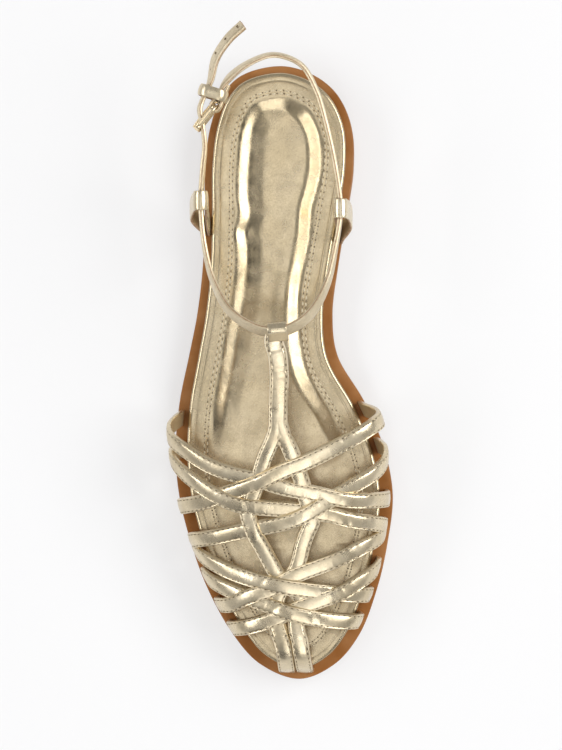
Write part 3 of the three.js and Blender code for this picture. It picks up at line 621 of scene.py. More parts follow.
def sole_outline(count):
    """Closed outline of the sole in plan, counter-clockwise from the heel's tip."""
    medial = np.column_stack([OUTLINE["medial"] * BALL_WIDTH, y_at(OUTLINE["along"])])
    lateral = np.column_stack([-OUTLINE["lateral"] * BALL_WIDTH, y_at(OUTLINE["along"])])
    heel = [[HEEL_TIP * BALL_WIDTH, y_at(0)]]
    toe = [[TOE_TIP * BALL_WIDTH, y_at(1)]]
    ring = np.vstack([heel, medial, toe, lateral[::-1]])
    return through(ring, count, closed=True)[:-1]


def inset(outline, distance):
    """The outline moved inwards by a distance, or by one distance for each point."""
    step = np.roll(outline, -1, axis=0) - np.roll(outline, 1, axis=0)
    step /= np.linalg.norm(step, axis=1)[:, None]
    inwards = np.column_stack([step[:, 1], -step[:, 0]])
    return outline + inwards * np.broadcast_to(distance, len(outline))[:, None]


OUTER = sole_outline(1280)
INNER = inset(OUTER, RIM * read(MARGIN, "rim", along_at(OUTER[:, 1])))


def crossings(outline):
    """Tables of both sides of an outline against the place along the sole."""
    toe = int(np.argmin(outline[:, 1]))
    medial, lateral = outline[: toe + 1], np.vstack([outline[toe:], outline[:1]])
    return (
        (along_at(lateral[::-1, 1]), lateral[::-1, 0]),
        (along_at(medial[:, 1]), medial[:, 0]),
    )


SIDES = crossings(OUTER)


def sides_at(along):
    return tuple(np.interp(along, *side) for side in SIDES)


def top_at(along):
    return (
        BALL_HEIGHT
        + (HEEL_HEIGHT - BALL_HEIGHT) * read(TOP, "drop", along)
        + TOE_SPRING * read(TOP, "spring", along)
    )


def underside_at(along):
    arch = np.maximum(read(UNDERSIDE, "arch", along), 0)
    spring = np.maximum(read(UNDERSIDE, "spring", along), 0)
    step = smooth(along, *HEEL_BREAST)
    return step * (ARCH_RISE * arch + TOE_SPRING * spring)


def smooth(value, low, high):
    t = np.clip((np.asarray(value, float) - low) / (high - low), 0, 1)
    return t * t * (3 - 2 * t)


def eased(value, low, high, ease=0.16):
    """Straight ramp from 0 to 1 with rounded ends."""

    def area(t):
        return np.where(t < 0, 0, np.where(t < 1, t * t / 2, t - 0.5))

    t = (np.asarray(value, float) - low) / (high - low)
    return (area(t + ease) - area(t - ease)) / (2 * ease)


def bump(value, centre, width):
    return np.exp(-(((np.asarray(value, float) - centre) / width) ** 2))


def form_point(along, girth):
    """Point on the foot's form."""
    along, girth = np.asarray(along, float), np.asarray(girth, float)
    edge = np.minimum(along, TOE_EDGE)
    low, high = sides_at(edge)
    thickness = sizes().strap_thickness / MM
    left = low + RIM * read(FORM, "lateral", along) + thickness
    right = high - RIM * read(FORM, "medial", along) - thickness
    inside = np.clip(girth, 0, 1)
    angle = math.pi * (1 - inside)
    c, s = np.cos(angle), np.maximum(np.sin(angle), 0)
    flare = np.where(c < 0, read(FORM, "flare_lateral", along), read(FORM, "flare_medial", along))
    wall = np.clip((along - TOE_WALL[0]) / (TOE_WALL[1] - TOE_WALL[0]), 0, 1)
    crown = VAMP_HEIGHT * read(FORM, "crown", along) * np.sqrt(np.maximum(1 - wall**2.6, 0))
    beyond = (inside - girth) * np.sign(0.5 - inside) * 120
    past = np.maximum(along - TOE_WALL[1], 0) * SOLE_LENGTH * 2
    return np.stack(
        [
            (left + right) / 2 + (right - left) / 2 * c * (1 + flare * s * s),
            y_at(np.minimum(along, TOE_WALL[1])),
            top_at(edge) + crown * s**1.2 * (1 + 0.12 * c) - beyond - past,
        ],
        axis=-1,
    )


def unit(vectors):
    return vectors / np.maximum(np.linalg.norm(vectors, axis=-1, keepdims=True), 1e-9)


def form_normal(along, girth):
    step = 0.004
    forwards = form_point(along + step, girth) - form_point(along - step, girth)
    across = form_point(along, girth + step) - form_point(along, girth - step)
    return unit(-np.cross(across, forwards))


class Path:
    """Points along a piece, with the directions of its thickness, its width and its length."""

    def __init__(self, points, normals, spacing, closed=False):
        if closed:
            points = np.vstack([points, points[:1]])
            normals = np.vstack([normals, normals[:1]])
        run = np.r_[0, np.cumsum(np.linalg.norm(np.diff(points, axis=0), axis=1))]
        count = max(int(round(run[-1] / spacing)), 4)
        place = np.linspace(0, run[-1], count + 1)
        self.at = np.column_stack([np.interp(place, run, points[:, k]) for k in range(3)])
        rough = np.column_stack([np.interp(place, run, normals[:, k]) for k in range(3)])
        self.run = place
        self.closed = closed
        if closed:
            self.at, rough = self.at[:-1], rough[:-1]
            tangent = np.roll(self.at, -1, axis=0) - np.roll(self.at, 1, axis=0)
        else:
            tangent = np.gradient(self.at, axis=0)
        self.tangent = unit(tangent)
        self.side = unit(np.cross(self.tangent, rough))
        self.normal = np.cross(self.side, self.tangent)


def strap_path(rows, spacing):
    """Centre line of a strap on the form, ending where it meets the rim."""
    route = np.column_stack(
        [rows["along"] * SOLE_LENGTH, rows["girth"] * 2 * VAMP_HEIGHT, rows["lift"] * LIFT]
    )
    dense = through(route, 700)
    along, girth, lift = dense[:, 0] / SOLE_LENGTH, dense[:, 1] / (2 * VAMP_HEIGHT), dense[:, 2]
    normal = form_normal(along, girth)
    points = form_point(along, girth) + normal * lift[:, None]
    above = points[:, 2] > top_at(np.minimum(along, TOE_EDGE)) - 0.15
    return Path(points[above], normal[above], spacing)


def ankle_route(count=2400):
    """Points, normals and tangents of the ankle strap, and their place in its table."""
    route = np.column_stack(
        [ANKLE["across"] * BALL_WIDTH, y_at(ANKLE["along"]), ANKLE["up"] * ANKLE_HEIGHT]
    )
    points = through(route, count)
    tangent = unit(np.gradient(points, axis=0))
    place = np.linspace(0, len(route) - 1, count + 1)
    tilt = np.radians(np.interp(place, np.arange(len(route)), ANKLE["tilt"]))[:, None]
    outward = unit(np.cross(UP, tangent))
    normal = outward * np.cos(tilt) + np.cross(tangent, outward) * np.sin(tilt)
    return points, normal, tangent, place


ANKLE_ROUTE = ankle_route()


def on_ankle(name):
    """Place, normal, upward side and tangent at a named place of the ankle strap."""
    points, normal, tangent, place = ANKLE_ROUTE
    i = int(np.argmin(np.abs(place - ANKLE_PLACES[name])))
    return points[i], normal[i], np.cross(tangent[i], normal[i]), tangent[i]


# Meshes.


def make_piece(
    name, points, faces, finishes, slot, face_finish=None, corner_uv=None, replaces=(), sharp=38
):
    """Makes a mesh object from points in millimetres, riding on the frame's body."""
    mesh = bpy.data.meshes.new(name)
    mesh.from_pydata((np.asarray(points) * MM).tolist(), [], faces)
    for material in finishes:
        mesh.materials.append(material)
    if face_finish is not None:
        mesh.polygons.foreach_set("material_index", face_finish)
    if corner_uv is not None:
        layer = mesh.uv_layers.new(name="Length")
        layer.data.foreach_set("uv", np.asarray(corner_uv, float).ravel())
    mesh.polygons.foreach_set("use_smooth", [True] * len(mesh.polygons))
    mesh.update()
    mesh.set_sharp_from_angle(angle=math.radians(sharp))
    obj = bpy.data.objects.new(name, mesh)
    bpy.context.scene.collection.objects.link(obj)
    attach(obj, BODY)
    if replaces:
        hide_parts(*replaces)


def creased(path, section, rows):
    """Heights that soft troughs and ridges add to a section's outer face along a path."""
    section = np.asarray(section, float)
    outer = smooth(section[:, 0], 0.25, 1.1)
    added = np.zeros((len(path.at), len(section)))
    for share, depth, width, slant in zip(*rows.values()):
        place = path.run[:, None] + slant * section[None, :, 1]
        added -= depth * bump(place, share * path.run[-1], width) * outer
    return added


def sweep(path, section, strip_finish=None, thin=None, added=0.0):
    """Points, faces, finishes and UVs of a section carried along a path."""
    section = np.asarray(section, float)
    rings, size = len(path.at), len(section)
    height = section[None, :, 0] * (np.ones(rings) if thin is None else thin)[:, None] + added
    points = (
        path.at[:, None, :]
        + path.normal[:, None, :] * height[:, :, None]
        + path.side[:, None, :] * section[None, :, 1, None]
    ).reshape(-1, 3)
    sides = np.diff(np.vstack([section, section[:1]]), axis=0)
    girth = np.r_[0, np.cumsum(np.linalg.norm(sides, axis=1))]
    faces, strips, uv = [], [], []
    for ring in range(rings if path.closed else rings - 1):
        here, there = ring * size, ((ring + 1) % rings) * size
        u0, u1 = path.run[ring] * MM, path.run[ring + 1] * MM
        for i in range(size):
            j = (i + 1) % size
            faces.append((here + i, here + j, there + j, there + i))
            strips.append(0 if strip_finish is None else strip_finish[i])
            v0, v1 = girth[i] * MM, girth[i + 1] * MM
            uv += [(u0, v0), (u0, v1), (u1, v1), (u1, v0)]
    if not path.closed:
        last = (rings - 1) * size
        faces += [tuple(range(size))[::-1], tuple(range(last, last + size))]
        strips += [0 if strip_finish is None else 1] * 2
        uv += [(0, 0)] * (2 * size)
    return points, faces, strips, uv


def make_sweep(name, path, section, finishes, slot, strip_finish=None, thin=None, added=0.0, **rest):
    points, faces, strips, uv = sweep(path, section, strip_finish, thin, added)
    make_piece(name, points, faces, finishes, slot, strips, uv, **rest)


def folded_section(width, thickness, stitch_inset):
    """Section of a folded strap: rounded edges, a slight crown and a dip under each stitch row."""
    half = width / 2
    inwards = np.r_[[0, 0.08, 0.2, 0.36, 0.55, 0.75, 0.95, 1.25, 1.7], np.linspace(2.3, half, 3)]
    rounded = 1 - 0.5 * (1 - np.clip(inwards / 0.45, 0, 1)) ** 2.2
    crown = 0.24 * np.sin(inwards / half * math.pi / 2) ** 2
    dip = 0.2 * bump(inwards, stitch_inset, 0.26)
    height = thickness * rounded + crown - dip
    top = list(zip(height, inwards - half)) + list(zip(height[-2::-1], half - inwards[-2::-1]))
    return [(0, -half + 0.3), (0.25, -half)] + top + [(0.25, half), (0, half - 0.3)]


def band_section(thickness, width, edge=0.35, crown=0.06):
    """Section of a cut strip with a crowned outer face."""
    t, w = thickness / 2, width / 2
    c = min(edge, t * 0.8)
    return [
        (-t, -w + c),
        (-t + c * 0.3, -w + c * 0.3),
        (-t + c, -w),
        (t - c, -w),
        (t - c * 0.3, -w + c * 0.3),
        (t, -w + c),
        (t * (1 + crown * 0.72), -w * 0.5),
        (t * (1 + crown), 0),
        (t * (1 + crown * 0.72), w * 0.5),
        (t, w - c),
        (t - c * 0.3, w - c * 0.3),
        (t - c, w),
        (-t + c, w),
        (-t + c * 0.3, w - c * 0.3),
        (-t, w - c),
    ]


# Which strips of a cut band's section are gold (0), raw edge (1) and lining (2).
BAND_STRIPS = [1, 1, 1, 0, 0, 0, 0, 0, 0, 0, 0, 1, 1, 1, 2]
WRAPPED_STRIPS = [0, 0, 1, 0, 0, 0, 0, 0, 0, 0, 0, 1, 0, 0, 0]


def round_section(radius, sides):
    """Section of a round bar."""
    angle = np.linspace(0, 2 * math.pi, sides, endpoint=False)
    return np.column_stack([np.cos(angle) * radius, np.sin(angle) * radius])


def grooved_section(half_thickness, half_width, dip=0.2):
    """Section of a plated bar, rounded and with a shallow groove along its outer face."""
    angle = np.linspace(0, 2 * math.pi, 28, endpoint=False)
    c, s = np.cos(angle), np.sin(angle)
    out = half_thickness * np.sign(c) * np.abs(c) ** 0.7
    across = half_width * np.sign(s) * np.abs(s) ** 0.8
    return np.column_stack([out - dip * bump(across, 0, half_width * 0.45) * (c > 0), across])


def rounded_loop(width, height, radius, steps=7):
    """Points and outward directions of a rounded rectangle, counter-clockwise."""
    points, out = [], []
    for k, (sx, sy) in enumerate([(1, 1), (-1, 1), (-1, -1), (1, -1)]):
        for angle in np.linspace(0, math.pi / 2, steps) + k * math.pi / 2:
            way = np.array([math.cos(angle), math.sin(angle)])
            corner = np.array([sx * (width / 2 - radius), sy * (height / 2 - radius)])
            points.append(corner + way * radius)
            out.append(way)
    return np.array(points), np.array(out)


def loop_path(centre, first, second, width, height, radius, spacing=0.35):
    """Closed path of a rounded rectangle in the plane of two directions."""
    flat, out = rounded_loop(width, height, radius)
    points = centre + flat[:, :1] * first + flat[:, 1:] * second
    normals = out[:, :1] * first + out[:, 1:] * second
    return Path(points, normals, spacing, closed=True)


def join_rings(rings):
    """Quads between closed rings of equal length, each ring above the one before or inside it."""
    size = len(rings[0])
    faces = []
    for start in range(0, size * (len(rings) - 1), size):
        for i in range(size):
            a, b = start + i, start + (i + 1) % size
            faces.append((b, b + size, a + size, a))
    return np.vstack(rings), faces


def fill(ring, spacing):
    """Points inside a flat ring on a grid, and triangles over them and the ring."""
    low, high = ring.min(axis=0), ring.max(axis=0)
    xs = np.arange(low[0] + spacing / 2, high[0], spacing)
    ys = np.arange(low[1] + spacing / 2, high[1], spacing)
    grid = np.array([(x, y) for y in ys for x in xs if inside(ring, (x, y))])
    grid = grid[distances(ring, grid) > spacing * 0.45]
    size = len(ring)
    vertices = [Vector(p) for p in np.vstack([ring, grid])]
    flat, _, triangles, *_ = delaunay_2d_cdt(vertices, [], [list(range(size))], 1, 1e-7, False)
    flat = np.array(flat)
    within = [t for t in triangles if inside(ring, flat[list(t)].mean(axis=0))]
    return flat[size:], within


def cap(points, faces, ring, spacing, height, start=0, flipped=False):
    """Fills one ring of a mesh, which begins at a point's number, with triangles at a height."""
    size, offset = len(ring), len(points)
    grid, triangles = fill(ring, spacing)
    for triangle in triangles:
        face = tuple(start + i if i < size else offset + i - size for i in triangle)
        faces.append(face[::-1] if flipped else face)
    return np.vstack([points, np.column_stack([grid, height(grid)])])


def distances(ring, points):
    """Distance of each point from the nearest point of a ring."""
    return np.array([math.sqrt(np.min(np.sum((ring - p) ** 2, axis=1))) for p in points])


def inside(ring, point):
    """Whether a point is inside a flat ring, by the ring's sides that it sees towards +X."""
    a, b = ring, np.roll(ring, -1, axis=0)
    cross = (a[:, 1] > point[1]) != (b[:, 1] > point[1])
    gap = np.where(cross, b[:, 1] - a[:, 1], 1)
    x = a[:, 0] + (point[1] - a[:, 1]) * (b[:, 0] - a[:, 0]) / gap
    return bool(np.count_nonzero(cross & (point[0] < x)) % 2)


# Finishes.


BLACK = (0, 0, 0)
WHITE = (1, 1, 1)


def connect(tree, node, inputs):
    """Links or sets inputs of a node, by name or number."""
    for name, value in inputs.items():
        if isinstance(value, bpy.types.NodeSocket):
            tree.links.new(value, node.inputs[name])
        else:
            node.inputs[name].default_value = value


def add_node(tree, kind, inputs=None, **values):
    """Adds a node, with its settings first and then its inputs."""
    node = tree.nodes.new(kind)
    for name, value in values.items():
        setattr(node, name, value)
    connect(tree, node, inputs or {})
    return node


class Nodes:
    """Short calls for building one material's nodes."""

    def __init__(self, name):
        self.material = bpy.data.materials.new(name)
        self.material.use_nodes = True
        self.tree = self.material.node_tree
        self.shader = self.tree.nodes["Principled BSDF"]
        self.place = self.add("ShaderNodeTexCoord").outputs["Object"]

    def add(self, kind, inputs=None, **values):
        return add_node(self.tree, kind, inputs, **values)

    def noise(self, scale, detail=3.0, roughness=0.55, place=None):
        vector = place or self.place
        inputs = {"Vector": vector, "Scale": scale, "Detail": detail, "Roughness": roughness}
        return self.add("ShaderNodeTexNoise", inputs).outputs["Fac"]

    def cells(self, scale):
        inputs = {"Vector": self.place, "Scale": scale}
        return self.add("ShaderNodeTexVoronoi", inputs).outputs["Distance"]

    def ramp(self, value, low, high, start=0.35, end=0.65):
        node = self.add("ShaderNodeValToRGB", {"Fac": value})
        first, second = node.color_ramp.elements
        first.position, second.position = start, end
        first.color, second.color = (*low, 1), (*high, 1)
        return node.outputs["Color"]

    def spread(self, value, low, high):
        inputs = {"Value": value, "From Min": 0.3, "From Max": 0.7, "To Min": low, "To Max": high}
        return self.add("ShaderNodeMapRange", inputs).outputs["Result"]

    def times(self, first, second, share):
        """One colour multiplied by a share of another."""
        inputs = {"Factor": share, 6: first, 7: second}
        return self.add("ShaderNodeMix", inputs, data_type="RGBA", blend_type="MULTIPLY").outputs[2]

    def mapped(self, vector, scale):
        return self.add("ShaderNodeMapping", {"Vector": vector, "Scale": scale}).outputs["Vector"]

    def along_strap(self, along, across):
        """Place on a strap, scaled by its length and by its girth."""
        flat = self.add("ShaderNodeUVMap", uv_map="Length")
        return self.mapped(flat.outputs["UV"], (along, across, 1))

    def stretched(self, scale):
        return self.mapped(self.place, scale)

    def bump(self, value, strength, distance):
        inputs = {"Height": value, "Strength": strength, "Distance": distance}
        return self.add("ShaderNodeBump", inputs).outputs["Normal"]

    def shade(self, **inputs):
        """Links or sets the shader's inputs, with an underscore for each space in a name."""
        connect(self.tree, self.shader, {name.replace("_", " "): inputs[name] for name in inputs})


def finish(name):
    """Turns a function that shades nodes into one that gives the material, made only once."""

    def wrap(shade):
        def material():
            if name not in bpy.data.materials:
                shade(Nodes(name))
            return bpy.data.materials[name]

        return material

    return wrap


def mixed(a, b, share):
    return tuple(x * (1 - share) + y * share for x, y in zip(a, b))


def foil_leather(n, gold, rough, grain, wrinkles, place):
    """Metallic gold leather: mottled foil, fine grain and soft wrinkles."""
    dark = mixed(colours().gold_dark, gold, 0.55)
    mottled = n.ramp(n.noise(75, 4, 0.6), dark, gold, 0.36, 0.62)
    grains = n.ramp(n.noise(1500, 2, 0.6), (0.72, 0.71, 0.69), WHITE, 0.34, 0.6)
    n.shade(
        Base_Color=n.times(mottled, grains, grain),
        Metallic=0.9,
        Specular_IOR_Level=0.5,
        Roughness=n.spread(n.noise(160, 3), rough - 0.06, rough + 0.08),
        Normal=n.bump(n.noise(1, 2, 0.5, place), wrinkles, 0.0005),
    )


@finish("gold foil leather")
def gold_leather(n):
    """Foil of the straps, wrinkled across their length."""
    foil_leather(n, colours().foil, 0.29, 0.4, 0.26, n.along_strap(420, 190))


@finish("footbed foil leather")
def footbed_leather(n):
    """Foil of the footbed, nearly smooth."""
    foil_leather(n, colours().gold, 0.23, 0.5, 0.2, n.stretched((150, 95, 95)))


@finish("ankle foil leather")
def ankle_foil(n):
    """Foil of the ankle strap, duller than that of the woven straps."""
    foil_leather(n, colours().foil, 0.42, 0.6, 0.2, n.along_strap(420, 190))


@finish("raw leather edge")
def raw_edge(n):
    """Cut leather edge: matt tan with fine fibres."""
    tan = colours().tan
    n.shade(
        Base_Color=n.ramp(n.noise(700, 4), mixed(tan, BLACK, 0.35), mixed(tan, WHITE, 0.12)),
        Roughness=0.62,
        Normal=n.bump(n.noise(2200, 3), 0.5, 0.00015),
    )


@finish("strap lining")
def lining(n):
    """Yellow-gold lining on the backs of the straps."""
    gold, tan = colours().gold_dark, colours().tan
    n.shade(
        Base_Color=n.ramp(n.noise(220, 3), mixed(gold, tan, 0.5), mixed(gold, tan, 0.1)),
        Metallic=0.4,
        Roughness=0.45,
        Normal=n.bump(n.cells(1700), 0.3, 0.0001),
    )


@finish("tan sole")
def sole_finish(n):
    """Tan moulded sole, mottled, with fine streaks in its surface."""
    sole = colours().sole
    low, high = mixed(sole, BLACK, 0.14), mixed(sole, (1, 0.8, 0.5), 0.06)
    streaks = n.noise(900, 3, place=n.stretched((1.0, 1.0, 0.2)))
    n.shade(
        Base_Color=n.ramp(n.noise(60, 4), low, high),
        Specular_IOR_Level=0.2,
        Roughness=n.spread(n.noise(300, 3), 0.42, 0.58),
        Normal=n.bump(streaks, 0.18, 0.0001),
    )


@finish("stitching thread")
def thread_finish(n):
    """Pale matt thread."""
    thread = colours().thread
    n.shade(
        Base_Color=n.ramp(n.noise(3000, 2), mixed(thread, BLACK, 0.2), thread),
        Metallic=0.15,
        Roughness=0.7,
        Normal=n.bump(n.noise(6000, 2), 0.4, 0.00005),
    )


@finish("painted hole shade")
def hole_shade_finish(n):
    """Painted shade for the dark inside of a hole."""
    hole_shade = colours().hole_shade
    n.shade(Base_Color=n.ramp(n.noise(2500, 2), mixed(hole_shade, BLACK, 0.4), hole_shade), Roughness=0.9)


@finish("light gold plating")
def plated_metal(n):
    """Polished light gold plating with faint wear."""
    metal = colours().metal
    worn = mixed(metal, (0.3, 0.2, 0.1), 0.15)
    n.shade(
        Base_Color=n.ramp(n.noise(400, 3), worn, metal, 0.3, 0.6),
        Metallic=1.0,
        Roughness=n.spread(n.noise(900, 3), 0.12, 0.26),
        Normal=n.bump(n.noise(500, 2), 0.08, 0.0001),
    )


# Geometry node trees.

# One material input colours the dark discs that paint shade into the needle holes.
STITCH_INPUTS = {
    "Lines": "Geometry",
    "Pitch": "Float",
    "Thread Size": "Vector",
    "Hole Size": "Vector",
    "Thread": "Material",
    "Dark": "Material",
}
# Height of a needle hole's centre over its line, in metres.
HOLE_RISE = 0.00002


def stitch_tree():
    """Repeats a stitch and its needle hole along lines that carry their surface's direction."""
    name = "Stitch Row"
    if name in bpy.data.node_groups:
        return bpy.data.node_groups[name]
    tree = bpy.data.node_groups.new(name, "GeometryNodeTree")
    for label, kind in STITCH_INPUTS.items():
        tree.interface.new_socket(label, in_out="INPUT", socket_type="NodeSocket" + kind)
    tree.interface.new_socket("Geometry", in_out="OUTPUT", socket_type="NodeSocketGeometry")
    given = tree.nodes.new("NodeGroupInput").outputs

    def node(kind, inputs=None, **values):
        return add_node(tree, kind, inputs, **values).outputs[0]

    curve = node("GeometryNodeMeshToCurve", {"Mesh": given["Lines"]})
    spacing = {"Curve": curve, "Length": given["Pitch"]}
    spaced = node("GeometryNodeResampleCurve", spacing, mode="LENGTH")
    up = node("GeometryNodeInputNamedAttribute", {"Name": "up"}, data_type="FLOAT_VECTOR")
    tangent = node("GeometryNodeInputTangent")
    along = node("FunctionNodeAlignRotationToVector", {"Vector": tangent}, axis="X")
    turned = {"Rotation": along, "Vector": up}
    upright = node("FunctionNodeAlignRotationToVector", turned, axis="Z", pivot_axis="X")

    def copies(size, offset, material, rings):
        ball = node("GeometryNodeMeshUVSphere", {"Segments": 8, "Rings": rings, "Radius": 0.5})
        placing = {"Geometry": ball, "Scale": given[size], "Translation": offset}
        placed = node("GeometryNodeTransform", placing)
        soft = node("GeometryNodeSetShadeSmooth", {"Geometry": placed})
        painted = node("GeometryNodeSetMaterial", {"Geometry": soft, "Material": given[material]})
        repeating = {"Points": spaced, "Instance": painted, "Rotation": upright}
        return node("GeometryNodeInstanceOnPoints", repeating)

    half = node("ShaderNodeMath", {0: given["Pitch"], 1: 0.5}, operation="MULTIPLY")
    between = node("ShaderNodeCombineXYZ", {"X": half, "Z": HOLE_RISE})
    joined = add_node(tree, "GeometryNodeJoinGeometry")
    tree.links.new(copies("Thread Size", (0, 0, 0), "Thread", 6), joined.inputs["Geometry"])
    # Each needle hole is a flat dark disc beside its stitch: painted shade for the hole's inside.
    tree.links.new(copies("Hole Size", between, "Dark", 4), joined.inputs["Geometry"])
    real = node("GeometryNodeRealizeInstances", {"Geometry": joined.outputs["Geometry"]})
    add_node(tree, "NodeGroupOutput", {"Geometry": real})
    return tree


def run_tree(obj, tree, inputs):
    """Puts a node tree on an object, and keeps its result as a plain mesh."""
    modifier = obj.modifiers.new("Repeat", "NODES")
    modifier.node_group = tree
    for item in tree.interface.items_tree:
        if item.item_type == "SOCKET" and item.in_out == "INPUT" and item.name in inputs:
            modifier[item.identifier] = inputs[item.name]
    graph = bpy.context.evaluated_depsgraph_get()
    mesh = bpy.data.meshes.new_from_object(obj.evaluated_get(graph), depsgraph=graph)
    obj.modifiers.clear()
    old, obj.data = obj.data, mesh
    bpy.data.meshes.remove(old)
    mesh.name = obj.name


def make_stitches(name, lines, pitch, thread, hole_shade):
    """Stitches along lines, each a pair of point and direction arrays in millimetres."""
    points, ups, edges = [], [], []
    for at, up in lines:
        start = len(points)
        points += (at * MM).tolist()
        ups += up.tolist()
        edges += [(start + i, start + i + 1) for i in range(len(at) - 1)]
    mesh = bpy.data.meshes.new(name)
    mesh.from_pydata(points, edges, [])
    mesh.attributes.new("up", "FLOAT_VECTOR", "POINT").data.foreach_set("vector", np.ravel(ups))
    obj = bpy.data.objects.new(name, mesh)
    bpy.context.scene.collection.objects.link(obj)
    given = {"Pitch": pitch, "Thread Size": thread, "Hole Size": hole_shade}
    run_tree(obj, stitch_tree(), {**given, "Thread": thread_finish(), "Dark": hole_shade_finish()})
    if not len(obj.data.polygons):
        raise RuntimeError(name + " has no stitches")
    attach(obj, BODY)


# Pieces.


def tread(x, y, border):
    """Depth of the grooves under the sole, as a share."""
    along = along_at(y)
    wave = np.abs(np.sin((y + 3.5 * np.sin(x / 9)) * math.pi / 5.2))
    groove = 1 - smooth(wave, 0.18, 0.45)
    heel = 1 - smooth(along, 0.215, 0.235)
    ball = smooth(along, 0.5, 0.53) * (1 - smooth(along, 0.93, 0.96))
    return groove * np.maximum(heel, ball) * smooth(border, 4.5, 5.5)


def make_sole():
    """Moulded sole: rounded edges, the heel's step, the arch and a grooved tread."""
    depth = sizes().tread_depth / MM
    along = along_at(OUTER[:, 1])
    low, high = underside_at(along), top_at(along)
    # Rings climb from the tread's border over the side wall to the top's border. The wall and the
    # lip are pairs of an inset and a height, over the underside and over the top.
    wall = ((4.2, 0), (2.2, 0), (0.9, 0), (0.45, 0.14), (0.14, 0.45), (0, 0.9))
    shares = (0.25, 0.5, 0.75)
    lip = ((0, -0.6), (0.06, -0.3), (0.25, -0.08), (0.6, 0), (3.5, 0), (7, 0))
    rings = [(inset(OUTER, inwards), low + rise) for inwards, rise in wall]
    rings += [(inset(OUTER, 0), low + 0.9 + (high - low - 1.5) * share) for share in shares]
    rings += [(inset(OUTER, inwards), high + rise) for inwards, rise in lip]
    points, faces = join_rings([np.column_stack(ring) for ring in rings])

    def grooved(grid):
        x, y = grid.T
        return underside_at(along_at(y)) + depth * tread(x, y, distances(OUTER, grid))

    def flat(grid):
        return top_at(along_at(grid[:, 1]))

    last = len(points) - len(OUTER)
    points = cap(points, faces, rings[0][0], 1.3, grooved, flipped=True)
    points = cap(points, faces, rings[-1][0], 9, flat, last)
    make_piece("sole", points, faces, [sole_finish()], "sole_rubber", replaces=["outsole"])


# Where the slope into the footbed's cup wanders inwards, and the dimples in it. The side is -1 for
# lateral and 1 for medial.
WANDERINGS = table(
    "side y shift width",
    (-1, 8, -0.5, 9),
    (-1, -12, 0.4, 9),
    (-1, -31, 0.6, 6),
    (-1, -40, -0.7, 4),
    (-1, -56, 0.5, 10),
    (-1, -80, -0.5, 10),
    (1, 7, 0.6, 9),
    (1, -12, -0.6, 10),
    (1, -30, 0.7, 6),
    (1, -44, -0.5, 8),
    (1, -64, 0.5, 10),
    (1, -86, -0.5, 10),
)
DIMPLES = table(
    "x y depth radius",
    (-15.2, -39.3, 0.22, 2.4),
    (-16, -31.5, -0.2, 3.6),
    (15.8, -30, 0.16, 3),
    (-12, 9.5, -0.15, 5),
    (10.5, 10.5, 0.2, 5),
    (-14.5, -62, 0.12, 5),
    (16, -58, -0.12, 5),
)


# The footbed's two rows of stitches, each with its distance from the edge and its first point's
# number, and the lengths, widths and heights of stitches and needle holes in metres.
FOOTBED_ROWS = ((7.2, 0), (8.5, 2))
FOOTBED_THREAD = (0.0015, 0.0007, 0.0005)
# The needle holes are dark discs of painted shade.
FOOTBED_HOLE = (0.0007, 0.0007, 0.00012)


def footbed_height(distance, x, y):
    """Height of the footbed over the flat insole, by distance from its edge."""
    cup = sizes().cup_depth / MM
    x, y = np.asarray(x, float), np.asarray(y, float)
    wandered = distance
    for side, centre, shift, width in zip(*WANDERINGS.values()):
        wandered = wandered - shift * bump(y, centre, width) * smooth(side * x, 2, 9)
    long_foot = 0.62 * eased(wandered, 9.8, 14.4) + 0.38 * eased(wandered, 13.6, 21)
    medial = smooth(x, -6, 6)
    slope = long_foot * (1 - medial) + eased(wandered, 9.8, 15.6) * medial
    dimples = sum(
        depth * np.exp(-((x - cx) ** 2 + (y - cy) ** 2) / radius**2)
        for cx, cy, depth, radius in zip(*DIMPLES.values())
    ) * smooth(distance, 9, 11)
    along = along_at(y)
    edge = np.clip((1.2 - distance) / 1.2, 0, 1)
    fade = 1 - smooth(along, 0.5, 0.68)
    seam = bump(y, -166.9 - 0.0025 * (x - 4) ** 2, 0.28) * smooth(distance, 2, 4)
    return (
        -1.2 * (1 - np.sqrt(1 - edge**2))
        - 0.07 * bump(distance, 3.1, 0.3)
        - 0.1 * bump(distance, 7.9, 1.7)
        - cup * slope * smooth(distance, 8.8, 10) * fade
        - dimples
        - 0.08 * seam
    )


def insole_top(y):
    """Height of the flat insole under the footbed's form."""
    return top_at(along_at(y)) + GAP + INSOLE_THICKNESS


def on_footbed(plan, distance):
    """Points on the footbed's surface over a plan, by its distance from the edge."""
    x, y = plan.T
    return np.column_stack([plan, insole_top(y) + footbed_height(distance, x, y)])


